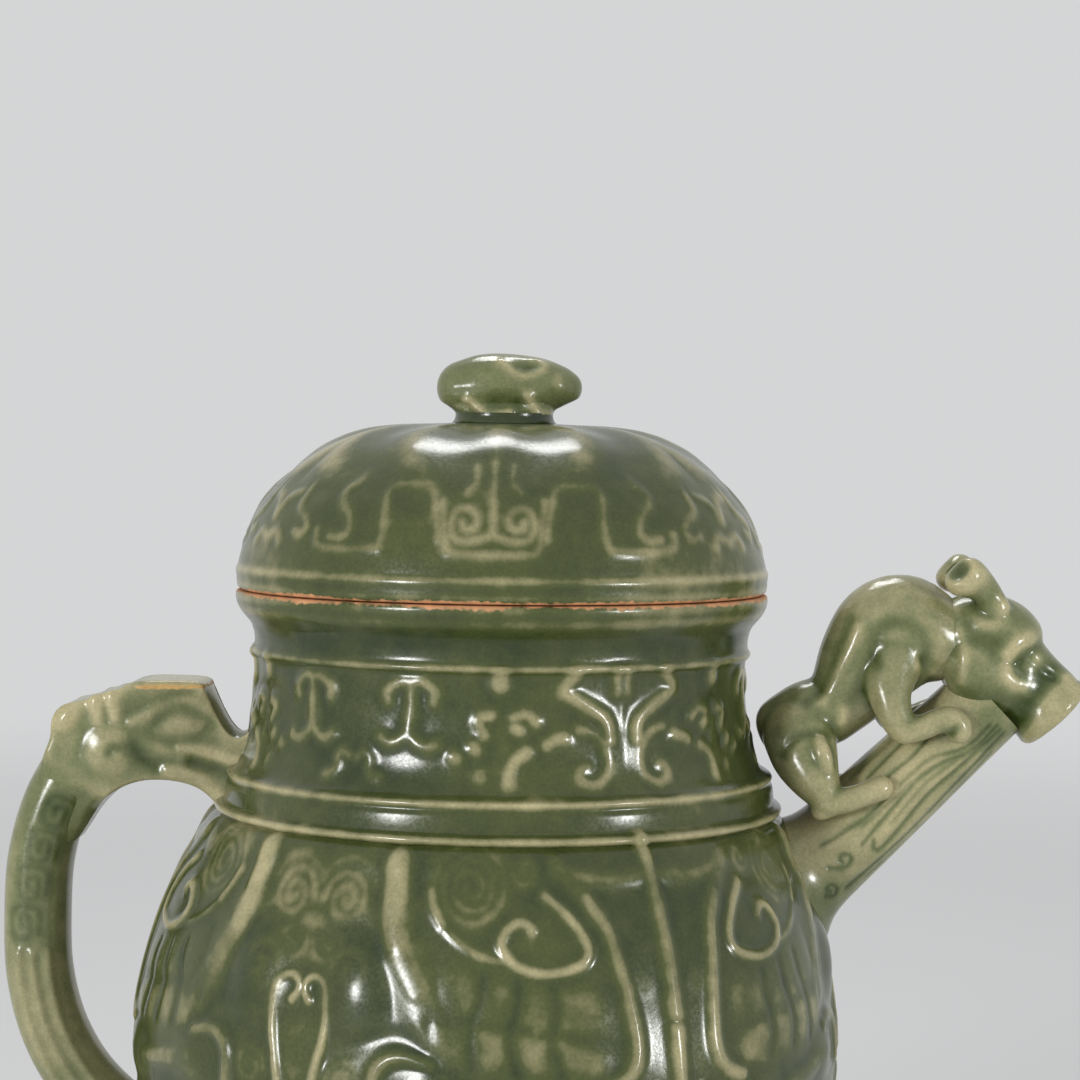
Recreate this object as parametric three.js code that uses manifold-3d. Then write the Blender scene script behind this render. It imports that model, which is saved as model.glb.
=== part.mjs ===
// Lidded celadon ewer in the form of an archaic bronze pouring vessel.
// A three-lobed belly, moulded in an upper and a lower half, stands on three legs.
// It carries a neck with a flared rim and a domed lid.
// A beast clings to the spout, and a dragon's head bites the neck at the top of the handle.
// Millimetres, +Z up. The spout points along +X and the handle along -X.
import * as THREE from 'three';
import { mergeVertices } from 'three/addons/utils/BufferGeometryUtils.js';
import Module from 'manifold-3d';

const wasm = await Module();
wasm.setup();

// Clearances
const luteGap = 0.3;
const lidSideClearance = 1;
const seamGap = 0.3;

// Heights above the table
const bellyBottom = 28;
const neckJointHeight = 133.2;
const neckHeight = 44.8;
const rimTop = neckJointHeight + neckHeight;

// Belly, from the underside up to the shoulder
const undersideRadius = 32;
const undersideRise = 1.5;
const hipInset = 23;
const hipRise = 9;
const flankInset = 8;
const flankRise = 24;
const bellyRadius = 77;
const bellyWidestDrop = 54.2;
const upperFlankInset = 4.4;
const upperFlankDrop = 29.2;
const underShoulderRadius = 66;
const underShoulderDrop = 11.2;
const shoulderRadius = 61.6;
const shoulderRingDrop = 2;
const bellyLobe = 2.4;
const lobeCount = 3;
const lobeAzimuth = Math.PI;
const bellySeamHeight = neckJointHeight - bellyWidestDrop;

// Neck and rim
const neckFootRadius = 59.3;
const lowerRingRise = 5.1;
const neckCoveRadius = 56.5;
const neckCoveRise = 8.2;
const neckSwellRadius = 55.1;
const neckSwellRise = 12.8;
const neckRadius = 53.7;
const neckWaistRise = 20.8;
const upperRingDrop = 13;
const rimFlareDrop = 4.7;
const rimRadius = 58.2;
const ringHeight = 0.9;
const ringHalfWidth = 1.3;
const wall = 5;
const turnSegments = 42;

// Legs
const legInset = 31;
const legFootRadius = 11.5;
const legFootHeight = 3;
const legWaistRadius = 10.5;
const legWaistHeight = 9;
const legCalfRadius = 12;
const legCalfHeight = 20;
const legTopRadius = 19;
const legTopHeight = 44;
const smallSegments = 24;

// Lid
const lidHeight = 36.6;
const lidRadius = 57.9;
const lidLipHeight = 4.6;
const lidBulgeInset = 2.3;
const lidBulgeHeight = 12;
const lidFlankInset = 5.5;
const lidFlankHeight = 18.5;
const lidShoulderInset = 11.9;
const lidShoulderDrop = 10.9;
const lidCrownRadius = 37.3;
const lidCrownDrop = 5;
const lidTopRadius = 24.6;
const lidTopDrop = 1.1;
const lidWall = 5;
const flangeDepth = 9;
const flangeWall = 4;
const flangeRise = 4.5;
const flangeChamfer = 0.8;
const flangeChamferHeight = 1.5;

// Knob in the shape of a crouching animal
const knobLength = 32.3;
const knobWidth = 18;
const lidKnobShift = 1;
const knobHeight = 13.4;
const knobPlinthRadius = 11.4;
const knobPlinthHeight = 2.2;
const knobPlinthTaper = 0.6;
const knobPlinthDepth = 0.75;

// Spout and its beast, in a frame along the spout
const spoutInset = 1.7;
const spoutDrop = 19.4;
const spoutBase = new THREE.Vector3(underShoulderRadius - spoutInset, 0, neckJointHeight - spoutDrop);
const spoutRise = THREE.MathUtils.degToRad(44.3);
const spoutLength = 60;
const spoutBaseRadius = 10.8;
const spoutTipRadius = 9.2;
const spoutBoreRadius = 4.5;
const spoutRoot = -16;
const spoutRootFlare = 1.6;
const spoutCollar = 4;
const boreOverrun = 8;
const headAlong = 67.6;
const headMouthDrop = 12;
const headRadius = 12;
const headCrownRadius = 6.5;
const browRadius = 10.2;
const muzzleRadius = 9.8;
const headHeight = 19.5;
const earForward = 7.4;
const earSpread = 7.5;
const earRise = 21;
const earHalves = [4, 2.6, 6.2];

// Handle and its dragon's head
const handleWidth = 17;
const handleThickness = 14.5;
const headWidth = 21;
const dragonBevel = 4;
const curlOut = -29.7;
const curlRise = 9.8;
const curlRadius = 5.5;
const curlHeight = 2.8;
const mouthReach = 6.3;
const mouthDrop = 3.2;
const mouthHalves = [9, 20, 2];

// Glaze and bare clay
const glaze = new THREE.MeshStandardMaterial({ color: 0x66734a, roughness: 0.12, metalness: 0 });
const paleGlaze = new THREE.MeshStandardMaterial({ color: 0x8a9468, roughness: 0.14, metalness: 0 });

// Closed body with merged vertices and its faces pointing out
function closedBody(geometry) {
  const bare = geometry.clone();
  bare.deleteAttribute('normal');
  bare.deleteAttribute('uv');
  const merged = mergeVertices(bare, 1e-4);
  const place = merged.getAttribute('position');
  const source = merged.index.array;
  const corners = [0, 1, 2].map(() => new THREE.Vector3());
  const kept = [];
  let volume = 0;
  for (let i = 0; i < source.length; i += 3) {
    const [a, b, c] = [source[i], source[i + 1], source[i + 2]];
    if (a === b || b === c || c === a) continue;
    kept.push(a, b, c);
    corners.forEach((corner, k) => corner.fromBufferAttribute(place, source[i + k]));
    volume += corners[0].dot(corners[1].clone().cross(corners[2]));
  }
  if (volume < 0) kept.reverse();
  merged.setIndex(kept);
  return merged;
}

// Solid for cutting and joining
function solidOf(geometry) {
  const body = closedBody(geometry);
  return new wasm.Manifold(new wasm.Mesh({
    numProp: 3,
    vertProperties: new Float32Array(body.getAttribute('position').array),
    triVerts: new Uint32Array(body.index.array),
  }));
}

// Geometry of a finished solid
function geometryOf(solid) {
  const mesh = solid.getMesh();
  const geometry = new THREE.BufferGeometry();
  geometry.setAttribute('position', new THREE.BufferAttribute(new Float32Array(mesh.vertProperties), 3));
  geometry.setIndex(new THREE.BufferAttribute(new Uint32Array(mesh.triVerts), 1));
  return geometry;
}

// Solid half space below a height, as a wide slab
const slabWidth = 600;
function slabBelow(height) {
  const slab = new THREE.BoxGeometry(slabWidth, slabWidth, slabWidth);
  return solidOf(slab.translate(0, 0, height - slabWidth / 2));
}

function piece(name, solid, material) {
  const mesh = new THREE.Mesh(geometryOf(solid), material);
  mesh.name = name;
  return mesh;
}

// Turned shape from a profile of [radius, height] pairs, standing along +Z
function turned(profile, segments = turnSegments) {
  const points = profile.map(([radius, height]) => new THREE.Vector2(radius, height));
  return new THREE.LatheGeometry(points, segments).rotateX(Math.PI / 2);
}

// Smooth run of [radius, height] pairs through a few points
function smooth(points, steps) {
  const curve = new THREE.SplineCurve(points.map(([radius, height]) => new THREE.Vector2(radius, height)));
  return curve.getPoints(steps).map((point) => [Math.max(point.x, 0), point.y]);
}

// Raised half-round ring on a turned wall, as three profile points
function ring(radius, height) {
  return [
    [radius, height - ringHalfWidth],
    [radius + ringHeight, height],
    [radius, height + ringHalfWidth],
  ];
}

// Tapering limb through stations of [x, y, z, half width, half depth], round at both ends
function limb(stations, grow = 0, sides = 10) {
  const path = new THREE.CatmullRomCurve3(stations.map(([x, y, z]) => new THREE.Vector3(x, y, z)));
  const stepsPerSpan = 2;
  const spans = stations.length - 1;
  const rings = [];
  const across = new THREE.Vector3(0, 1, 0);
  const addRing = (t, shrink, push) => {
    const place = path.getPoint(t);
    const along = path.getTangent(t);
    const side = across.clone().addScaledVector(along, -across.dot(along)).normalize();
    const up = new THREE.Vector3().crossVectors(along, side);
    const span = Math.min(Math.floor(t * spans), spans - 1);
    const share = t * spans - span;
    const width = THREE.MathUtils.lerp(stations[span][3], stations[span + 1][3], share) + grow;
    const depth = THREE.MathUtils.lerp(stations[span][4], stations[span + 1][4], share) + grow;
    place.addScaledVector(along, push * Math.min(width, depth));
    rings.push({ place, side, up, width: width * shrink, depth: depth * shrink });
  };
  const capAngles = [75, 45, 20].map(THREE.MathUtils.degToRad);
  capAngles.forEach((angle) => addRing(0, Math.cos(angle), -Math.sin(angle)));
  for (let i = 0; i <= spans * stepsPerSpan; i += 1) addRing(i / (spans * stepsPerSpan), 1, 0);
  capAngles.reverse().forEach((angle) => addRing(1, Math.cos(angle), Math.sin(angle)));
  const positions = [];
  const index = [];
  rings.forEach(({ place, side, up, width, depth }) => {
    for (let k = 0; k < sides; k += 1) {
      const angle = (k / sides) * 2 * Math.PI;
      const point = place.clone();
      point.addScaledVector(side, width * Math.cos(angle)).addScaledVector(up, depth * Math.sin(angle));
      positions.push(point.x, point.y, point.z);
    }
  });
  for (let r = 0; r < rings.length - 1; r += 1) {
    for (let k = 0; k < sides; k += 1) {
      const next = (k + 1) % sides;
      const [a, b] = [r * sides + k, r * sides + next];
      index.push(a, b, b + sides, a, b + sides, a + sides);
    }
  }
  [0, rings.length - 1].forEach((r) => {
    const centre = positions.length / 3;
    const { place } = rings[r];
    positions.push(place.x, place.y, place.z);
    for (let k = 0; k < sides; k += 1) {
      const [a, b] = [r * sides + k, r * sides + ((k + 1) % sides)];
      index.push(...(r === 0 ? [centre, b, a] : [centre, a, b]));
    }
  });
  const geometry = new THREE.BufferGeometry();
  geometry.setAttribute('position', new THREE.Float32BufferAttribute(positions, 3));
  geometry.setIndex(index);
  return geometry;
}

// Egg shape at a place
function egg([x, y, z], [halfX, halfY, halfZ], sides = 12) {
  const shape = new THREE.SphereGeometry(1, sides, sides / 2);
  return shape.scale(halfX, halfY, halfZ).translate(x, y, z);
}

// Push a turned belly out into its lobes
function lobed(geometry) {
  const place = geometry.getAttribute('position');
  for (let i = 0; i < place.count; i += 1) {
    const [x, y, z] = [place.getX(i), place.getY(i), place.getZ(i)];
    const radius = Math.hypot(x, y);
    if (radius < 1) continue;
    const rise = (z - bellyBottom) / (neckJointHeight - bellyBottom);
    const fade = Math.sin(Math.PI * THREE.MathUtils.clamp(rise, 0, 1)) ** 0.8;
    const push = bellyLobe * fade * Math.cos(lobeCount * (Math.atan2(y, x) - lobeAzimuth));
    place.setXY(i, x * (1 + push / radius), y * (1 + push / radius));
  }
  return geometry;
}

// Turned wall's outline moved outwards by a distance, or inwards where it is negative
function offset(profile, distance) {
  return profile.map(([radius, height], i) => {
    const [radiusBefore, heightBefore] = profile[Math.max(i - 1, 0)];
    const [radiusAfter, heightAfter] = profile[Math.min(i + 1, profile.length - 1)];
    const run = Math.hypot(radiusAfter - radiusBefore, heightAfter - heightBefore);
    const outward = (heightAfter - heightBefore) / run;
    const upward = (radiusBefore - radiusAfter) / run;
    return [i === 0 && radius === 0 ? 0 : radius + outward * distance, height + upward * distance];
  });
}

// Belly wall from the middle of its underside to just below the shoulder ring
const shoulderRingHeight = neckJointHeight - shoulderRingDrop;
const bellySteps = 18;
const bellyCurve = smooth([
  [0, bellyBottom],
  [undersideRadius, bellyBottom + undersideRise],
  [bellyRadius - hipInset, bellyBottom + hipRise],
  [bellyRadius - flankInset, bellyBottom + flankRise],
  [bellyRadius, neckJointHeight - bellyWidestDrop],
  [bellyRadius - upperFlankInset, neckJointHeight - upperFlankDrop],
  [underShoulderRadius, neckJointHeight - underShoulderDrop],
  [shoulderRadius + ringHeight, shoulderRingHeight - 2 * ringHalfWidth],
], bellySteps);

function bellyOutside(grow) {
  return [
    ...offset(bellyCurve, grow),
    ...ring(shoulderRadius + grow, shoulderRingHeight),
    [neckFootRadius + ringHeight + grow, neckJointHeight],
  ];
}

const bellyInside = offset(bellyCurve, -wall).filter((point, i) => i % 2 === 0).reverse();
const bellyBlank = solidOf(lobed(turned([
  ...bellyOutside(0),
  [neckFootRadius - wall, neckJointHeight],
  ...bellyInside,
])));
const bellyKeepOut = solidOf(lobed(turned([...bellyOutside(luteGap), [0, neckJointHeight]])));

// Neck with its two rings and the flared rim
const neckFoot = neckJointHeight + luteGap;
const upperRingHeight = rimTop - upperRingDrop;
const neckOutside = [
  [neckFootRadius + ringHeight, neckFoot],
  ...ring(neckFootRadius, neckJointHeight + lowerRingRise),
  ...smooth([
    [neckCoveRadius, neckJointHeight + neckCoveRise],
    [neckSwellRadius, neckJointHeight + neckSwellRise],
    [neckRadius, neckJointHeight + neckWaistRise],
    [neckRadius, upperRingHeight - 1.5 * ringHalfWidth],
  ], 6),
  ...ring(neckRadius + ringHeight / 2, upperRingHeight),
  ...smooth([
    [neckRadius + ringHeight, upperRingHeight + 3 * ringHalfWidth],
    [rimRadius - 1.5 * ringHeight, rimTop - rimFlareDrop],
    [rimRadius, rimTop - ringHalfWidth],
    [rimRadius, rimTop],
  ], 6),
];
const rimInnerRadius = rimRadius - wall - ringHeight;
const neckInside = smooth([
  [rimInnerRadius, rimTop],
  [neckRadius - wall + ringHeight / 2, rimTop - 2 * rimFlareDrop],
  [neckRadius - wall, neckJointHeight + neckWaistRise],
  [neckSwellRadius - wall, neckJointHeight + neckSwellRise],
  [neckFootRadius - wall, neckFoot],
], 8);
const neckBlank = solidOf(turned([...neckOutside, ...neckInside, neckOutside[0]]));
const neckCore = solidOf(turned([
  [0, neckJointHeight],
  ...neckOutside.map(([radius, height]) => [radius + luteGap, height]),
  [0, rimTop],
]));

// Leg under each lobe, cut to the belly's underside
function leg(azimuth) {
  const shape = turned([
    [0, 0],
    [legFootRadius, 0],
    [legFootRadius, legFootHeight],
    [legWaistRadius, legWaistHeight],
    [legCalfRadius, legCalfHeight],
    [legTopRadius, legTopHeight],
    [0, legTopHeight],
  ], smallSegments).translate(bellyRadius - legInset, 0, 0).rotateZ(azimuth);
  return solidOf(shape).subtract(bellyKeepOut);
}

// Spout frame: x runs along the spout and z away from it on the upper side
const spoutFrame = new THREE.Group();
spoutFrame.position.copy(spoutBase);
spoutFrame.rotation.y = -spoutRise;
spoutFrame.updateMatrix();
const toSpoutFrame = spoutFrame.matrix.clone().invert().elements;
const bellyFromSpout = bellyKeepOut.transform(toSpoutFrame);
const neckFromSpout = neckCore.transform(toSpoutFrame);

function spoutSolid(grow) {
  const outside = [
    [0, spoutRoot],
    [spoutBaseRadius + spoutRootFlare + grow, spoutRoot],
    [spoutBaseRadius + grow, spoutCollar],
    [spoutTipRadius + grow, spoutLength - luteGap + grow],
    [0, spoutLength - luteGap + grow],
  ];
  return solidOf(turned(outside, smallSegments).rotateY(Math.PI / 2));
}

// Round bore of the pouring channel, standing along its own Y
function bore(length) {
  return new THREE.CylinderGeometry(spoutBoreRadius, spoutBoreRadius, length, 16);
}
const boreLength = spoutLength - spoutRoot + 3 * boreOverrun;
const boreMiddle = spoutRoot - 2 * boreOverrun + boreLength / 2;
const spoutBore = solidOf(bore(boreLength).rotateZ(Math.PI / 2).translate(boreMiddle, 0, 0));
const mouthBore = solidOf(bore(headMouthDrop * 2).rotateX(Math.PI / 2).translate(headAlong, 0, -headMouthDrop));
const turnRadius = spoutBoreRadius + luteGap;
const mouthTurn = solidOf(egg([headAlong, 0, 0], [turnRadius, turnRadius, turnRadius]));
const throatMiddle = (headAlong + spoutLength - boreOverrun) / 2;
const throatBore = solidOf(bore(headAlong - spoutLength + boreOverrun).rotateZ(Math.PI / 2)
  .translate(throatMiddle, 0, 0));

// Beast's head, turned about its own axis from the crown down to the mouth
const headSolid = (grow) => solidOf(turned([
  [0, headHeight + grow],
  [headCrownRadius, headHeight - 1.5 + grow],
  [browRadius + grow, headHeight - 5],
  [headRadius + grow, 8],
  [headRadius - 0.7 + grow, 3],
  [muzzleRadius - 0.7 + grow, -2],
  [muzzleRadius - 0.9 + grow, -6],
  [muzzleRadius + grow, -10],
  [muzzleRadius - 0.6 + grow, -headMouthDrop - grow],
  [0, -headMouthDrop - grow],
], smallSegments).translate(headAlong, 0, 0));

// Beast stations: along the spout, across it, away from it, half width and half depth
const torsoStations = [
  [25, 0, 23, 8.5, 8.5],
  [34, 0, 20.5, 9.5, 9],
  [43, 0, 22.5, 10, 10.4],
  [52, 0, 25.6, 11, 12],
  [59, 0, 25.4, 10.5, 11.6],
  [64, 0, 20.5, 9.5, 9.5],
];
const hindLegStations = [
  [25, 7.5, 19.5, 5.5, 7.2],
  [19.5, 10.5, 14, 4.6, 5.8],
  [18.6, 11.4, 8.6, 4.2, 4.4],
  [24, 11.4, 4.6, 3.8, 3.6],
  [28.6, 11, 2.4, 3.6, 3],
];
const foreLegStations = [
  [51, 8.5, 21.5, 5, 7],
  [45.5, 10.8, 15, 4.4, 5],
  [42.6, 11.6, 9.6, 4, 4.2],
  [46.5, 11.4, 5.6, 3.9, 3.8],
  [50.2, 11, 3, 3.8, 3.4],
];
const mirrored = (stations, hand) => stations.map(([x, y, ...rest]) => [x, y * hand, ...rest]);

const spoutKeepOut = spoutSolid(luteGap);
const headKeepOut = headSolid(luteGap);
const torsoForm = solidOf(limb(torsoStations, 0, 12));
const torso = torsoForm.subtract(headKeepOut).subtract(spoutKeepOut);
const torsoKeepOut = solidOf(limb(torsoStations, luteGap, 12)).add(torsoForm.translate([0, 0, luteGap]))
  .add(torsoForm.translate([0, 0, -luteGap])).add(torsoForm);

// The largest body left by a cut, without slivers
function mainBody(solid) {
  return solid.decompose().sort((one, other) => other.volume() - one.volume())[0];
}

function beastLeg(stations, hand) {
  const shape = solidOf(limb(mirrored(stations, hand)));
  return mainBody(shape.subtract(spoutKeepOut).subtract(torsoKeepOut).subtract(headKeepOut));
}

function beastEar(hand) {
  const shape = solidOf(egg([headAlong + earForward, hand * earSpread, earRise], earHalves, 10));
  return shape.subtract(headKeepOut).subtract(torsoKeepOut);
}

// Handle: a loop from the dragon's nape down to the belly
const handleStations = [
  [-30.7, 9.8],
  [-38.7, -3.2],
  [-42.5, -17.2],
  [-43.1, -29.2],
  [-42.3, -42.2],
  [-38.7, -54.7],
  [-32.2, -65.7],
  [-22.7, -74.2],
  [-6.7, -80.2],
].map(([out, rise]) => [
  out - neckFootRadius,
  0,
  neckJointHeight + rise,
  handleWidth / 2,
  handleThickness / 2,
]);

// Dragon's head in side view, from the foot of the neck
function dragonOutline() {
  const outline = new THREE.Shape();
  outline.moveTo(-38.2, 6.8);
  outline.quadraticCurveTo(-40.2, 15.8, -36.7, 18.3);
  outline.quadraticCurveTo(-32.7, 20, -28.7, 21.6);
  outline.quadraticCurveTo(-22.7, 23.8, -17.7, 24.2);
  outline.lineTo(-6.7, 24.1);
  outline.quadraticCurveTo(-2.2, 16.8, 0.3, 12.8);
  outline.lineTo(9.3, 13.8);
  outline.lineTo(9.3, -5.7);
  outline.lineTo(-3.9, -4.7);
  outline.quadraticCurveTo(-6.7, 1.4, -14.2, 2.4);
  outline.quadraticCurveTo(-20.7, 2, -26.7, -2.7);
  outline.closePath();
  return outline;
}
function dragonHead() {
  const shape = new THREE.ExtrudeGeometry(dragonOutline(), {
    depth: headWidth - 2 * dragonBevel,
    bevelEnabled: true,
    bevelThickness: dragonBevel,
    bevelSize: dragonBevel * 0.5,
    bevelOffset: -dragonBevel * 0.5,
    bevelSegments: 3,
    curveSegments: 5,
  }).translate(-neckFootRadius, neckJointHeight, -headWidth / 2 + dragonBevel).rotateX(Math.PI / 2);
  return solidOf(shape);
}
const dragon = dragonHead().subtract(neckCore).subtract(bellyKeepOut);
const dragonMouth = solidOf(egg([mouthReach - neckFootRadius, 0, neckJointHeight - mouthDrop], mouthHalves));
const dragonBody = dragon.subtract(dragonMouth);

function handle() {
  const grown = dragonHead().translate([-luteGap, 0, -luteGap]).add(dragonHead());
  return solidOf(limb(handleStations, 0, 12)).subtract(grown).subtract(bellyKeepOut);
}

// Curled ear on each cheek of the dragon
function dragonCurl(hand) {
  const curl = turned([
    [0, 0],
    [curlRadius, 0],
    [curlRadius * 0.9, curlHeight * 0.64],
    [curlRadius * 0.44, curlHeight],
    [0, curlHeight],
  ], 16)
    .rotateX(-hand * Math.PI / 2)
    .translate(curlOut - neckFootRadius, hand * (headWidth / 2 + luteGap), neckJointHeight + curlRise);
  return solidOf(curl);
}

// Lid, from its seat on the rim
const lidOutside = smooth([
  [lidRadius - 0.6, 0],
  [lidRadius, lidLipHeight - 1.4],
  [lidRadius - 0.2, lidLipHeight + 1.6],
  [lidRadius - lidBulgeInset, lidBulgeHeight],
  [lidRadius - lidFlankInset, lidFlankHeight],
  [lidRadius - lidShoulderInset, lidHeight - lidShoulderDrop],
  [lidCrownRadius, lidHeight - lidCrownDrop],
  [lidTopRadius, lidHeight - lidTopDrop],
  [0, lidHeight],
], 15);
const flangeOuter = neckRadius - wall + ringHeight - lidSideClearance;
const lidInside = smooth([
  [0, lidHeight - lidWall],
  [lidTopRadius, lidHeight - lidWall - 1.5 * lidTopDrop],
  [lidRadius - lidShoulderInset - lidWall, lidHeight - lidShoulderDrop - lidWall + 1],
  [flangeOuter + luteGap, flangeRise + flangeChamferHeight],
  [flangeOuter + luteGap, 0],
], 8);
const lidDome = solidOf(turned([...lidInside, ...lidOutside]));
const lidFlange = solidOf(turned([
  [flangeOuter - flangeWall, -flangeDepth],
  [flangeOuter - flangeChamfer, -flangeDepth],
  [flangeOuter, -flangeDepth + flangeChamferHeight],
  [flangeOuter, flangeRise],
  [flangeOuter - flangeWall, flangeRise],
  [flangeOuter - flangeWall, -flangeDepth],
]));

// Knob: a plinth and the crouching animal on it
const lidCrown = solidOf(turned([
  [0, 0],
  ...lidOutside.slice(0, -1).map(([radius, height]) => [radius + luteGap, height + luteGap]),
  [0, lidHeight + luteGap],
]));
const plinthTop = lidHeight + knobPlinthHeight;
const plinthRoot = lidHeight - knobPlinthHeight;
const knobPlinth = solidOf(turned([
  [0, plinthRoot],
  [knobPlinthRadius, plinthRoot],
  [knobPlinthRadius - knobPlinthTaper, plinthTop - knobPlinthTaper],
  [knobPlinthRadius - 2 * knobPlinthTaper, plinthTop],
  [0, plinthTop],
], smallSegments).scale(1, knobPlinthDepth, 1)).subtract(lidCrown);
const animalLow = plinthTop + luteGap;
const rumpHalfLength = 12.6;
const headHalfLength = 9.4;
const animalMiddle = lidKnobShift + rumpHalfLength - knobLength / 2;
const knobAnimal = solidOf(egg(
  [animalMiddle, 0, animalLow + knobHeight / 2 - 1],
  [rumpHalfLength, knobWidth / 2, knobHeight / 2 + 1],
)).add(solidOf(egg(
  [lidKnobShift + knobLength / 2 - headHalfLength, 0, animalLow + knobHeight / 2],
  [headHalfLength, knobWidth / 2 - 2.4, knobHeight / 2 - 1.2],
)));
const knobBeast = knobAnimal.subtract(slabBelow(animalLow));

// Assembly
const ewer = new THREE.Group();
const bellyWall = bellyBlank.subtract(spoutBore.transform(spoutFrame.matrix.elements));
ewer.add(piece('belly_upper', bellyWall.subtract(slabBelow(bellySeamHeight + luteGap / 2)), glaze));
ewer.add(piece('belly_lower', bellyWall.intersect(slabBelow(bellySeamHeight - luteGap / 2)), glaze));
ewer.add(piece('neck', neckBlank, glaze));
[['leg_handle_side', 0], ['leg_front', 1], ['leg_back', 2]].forEach(([name, place]) => {
  ewer.add(piece(name, leg(lobeAzimuth + (place * 2 * Math.PI) / lobeCount), glaze));
});
ewer.add(piece('handle_loop', handle(), paleGlaze));
ewer.add(piece('dragon_head', dragonBody, paleGlaze));
ewer.add(piece('dragon_curl_front', dragonCurl(-1), paleGlaze));
ewer.add(piece('dragon_curl_back', dragonCurl(1), paleGlaze));

const spout = spoutSolid(0).subtract(spoutBore).subtract(bellyFromSpout).subtract(neckFromSpout)
  .subtract(headKeepOut);
spoutFrame.add(piece('spout', spout, paleGlaze));
spoutFrame.add(piece('beast_torso', torso.subtract(neckFromSpout), paleGlaze));
const channel = mouthBore.add(mouthTurn).add(throatBore);
spoutFrame.add(piece('beast_head', headSolid(0).subtract(channel), paleGlaze));
[['front', -1], ['back', 1]].forEach(([side, hand]) => {
  spoutFrame.add(piece(`beast_ear_${side}`, beastEar(hand), paleGlaze));
  spoutFrame.add(piece(`beast_foreleg_${side}`, beastLeg(foreLegStations, hand), paleGlaze));
  const hindLeg = beastLeg(hindLegStations, hand).subtract(neckFromSpout);
  spoutFrame.add(piece(`beast_hindleg_${side}`, hindLeg, paleGlaze));
});
ewer.add(spoutFrame);

const lid = new THREE.Group();
lid.position.z = rimTop + seamGap;
lid.add(piece('lid_dome', lidDome, glaze));
lid.add(piece('lid_flange', lidFlange, glaze));
lid.add(piece('knob_plinth', knobPlinth, paleGlaze));
lid.add(piece('knob_beast', knobBeast, paleGlaze));
ewer.add(lid);

// Stand the ewer with the middle of its footprint at the origin
ewer.updateMatrixWorld(true);
const reach = new THREE.Box3().setFromObject(ewer, true);
ewer.position.set(-(reach.min.x + reach.max.x) / 2, -(reach.min.y + reach.max.y) / 2, -reach.min.z);

export default ewer;
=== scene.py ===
"""Celadon ewer: glazed relief, beast spout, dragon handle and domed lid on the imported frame."""

import math

import bpy
import numpy as np
from mathutils import Matrix, Vector


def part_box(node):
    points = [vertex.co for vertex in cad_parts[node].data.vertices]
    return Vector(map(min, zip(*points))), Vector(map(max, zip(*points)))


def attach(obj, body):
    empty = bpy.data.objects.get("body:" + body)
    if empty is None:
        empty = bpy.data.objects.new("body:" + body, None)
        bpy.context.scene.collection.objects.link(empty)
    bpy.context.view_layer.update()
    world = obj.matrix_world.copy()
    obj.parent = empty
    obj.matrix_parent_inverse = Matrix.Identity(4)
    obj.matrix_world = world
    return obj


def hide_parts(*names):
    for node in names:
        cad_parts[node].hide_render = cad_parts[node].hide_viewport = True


bl_info = {
    "name": "Celadon Ewer",
    "version": (1, 0, 0),
    "blender": (4, 5, 0),
    "location": "View3D > Sidebar > Ewer",
    "description": "Builds the looks of a lidded celadon ewer on its frame",
    "category": "Object",
}

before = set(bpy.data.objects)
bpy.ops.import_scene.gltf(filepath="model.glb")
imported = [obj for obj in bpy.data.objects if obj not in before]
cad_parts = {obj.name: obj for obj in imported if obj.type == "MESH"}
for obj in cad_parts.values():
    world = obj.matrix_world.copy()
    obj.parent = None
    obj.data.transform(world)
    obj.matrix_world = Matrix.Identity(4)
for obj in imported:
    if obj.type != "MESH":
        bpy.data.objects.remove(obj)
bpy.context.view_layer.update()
MM = 0.001
# Strokes wider than this, in millimetres, are raised as flat bands
BROAD_STROKE = 4
# How far under its outline a turned wall still counts as its outer skin
SKIN_DEPTH = 0.5
CREASE_ANGLE = math.radians(50)

# The vessel's axis and the heights of its joints, from the frame
NECK_LOW, NECK_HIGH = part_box("neck")
AXIS_X = (NECK_LOW.x + NECK_HIGH.x) / 2
NECK_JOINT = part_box("belly_upper")[1].z / MM
RIM_TOP = NECK_HIGH.z / MM
LID_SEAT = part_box("lid_dome")[0].z / MM


# Measuring, selecting, drawing and spinning

def round_size(low, high):
    """Radius, bottom and top of a round node, in millimetres, from the corners of its box."""
    return (high.x - low.x) / 2 / MM, low.z / MM, high.z / MM


def clear_selection():
    """Leave edit mode and deselect everything."""
    if bpy.context.object and bpy.context.object.mode != "OBJECT":
        bpy.ops.object.mode_set(mode="OBJECT")
    bpy.ops.object.select_all(action="DESELECT")


def make_active(piece):
    """Select one piece alone and make it the active one."""
    clear_selection()
    piece.select_set(True)
    bpy.context.view_layer.objects.active = piece


def apply_modifier(piece, kind, **values):
    """Add one modifier, set its values and apply it."""
    make_active(piece)
    bpy.ops.object.modifier_add(type=kind)
    modifier = piece.modifiers[-1]
    for name, value in values.items():
        setattr(modifier, name, value)
    bpy.ops.object.modifier_apply(modifier=modifier.name)


def press_together(piece, voxel):
    """Merge overlapping clay into one skin of small cells, their size in millimetres."""
    apply_modifier(piece, "REMESH", mode="VOXEL", voxel_size=voxel * MM, use_smooth_shade=True)


def smooth_form(piece, rounds):
    """Rub a form smooth in a number of rounds."""
    apply_modifier(piece, "SMOOTH", factor=0.5, iterations=rounds)


def face_outwards(piece):
    """Turn all faces of a closed piece outwards."""
    make_active(piece)
    bpy.ops.object.mode_set(mode="EDIT")
    bpy.ops.mesh.select_all(action="SELECT")
    bpy.ops.mesh.normals_make_consistent(inside=False)
    bpy.ops.object.mode_set(mode="OBJECT")


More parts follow.
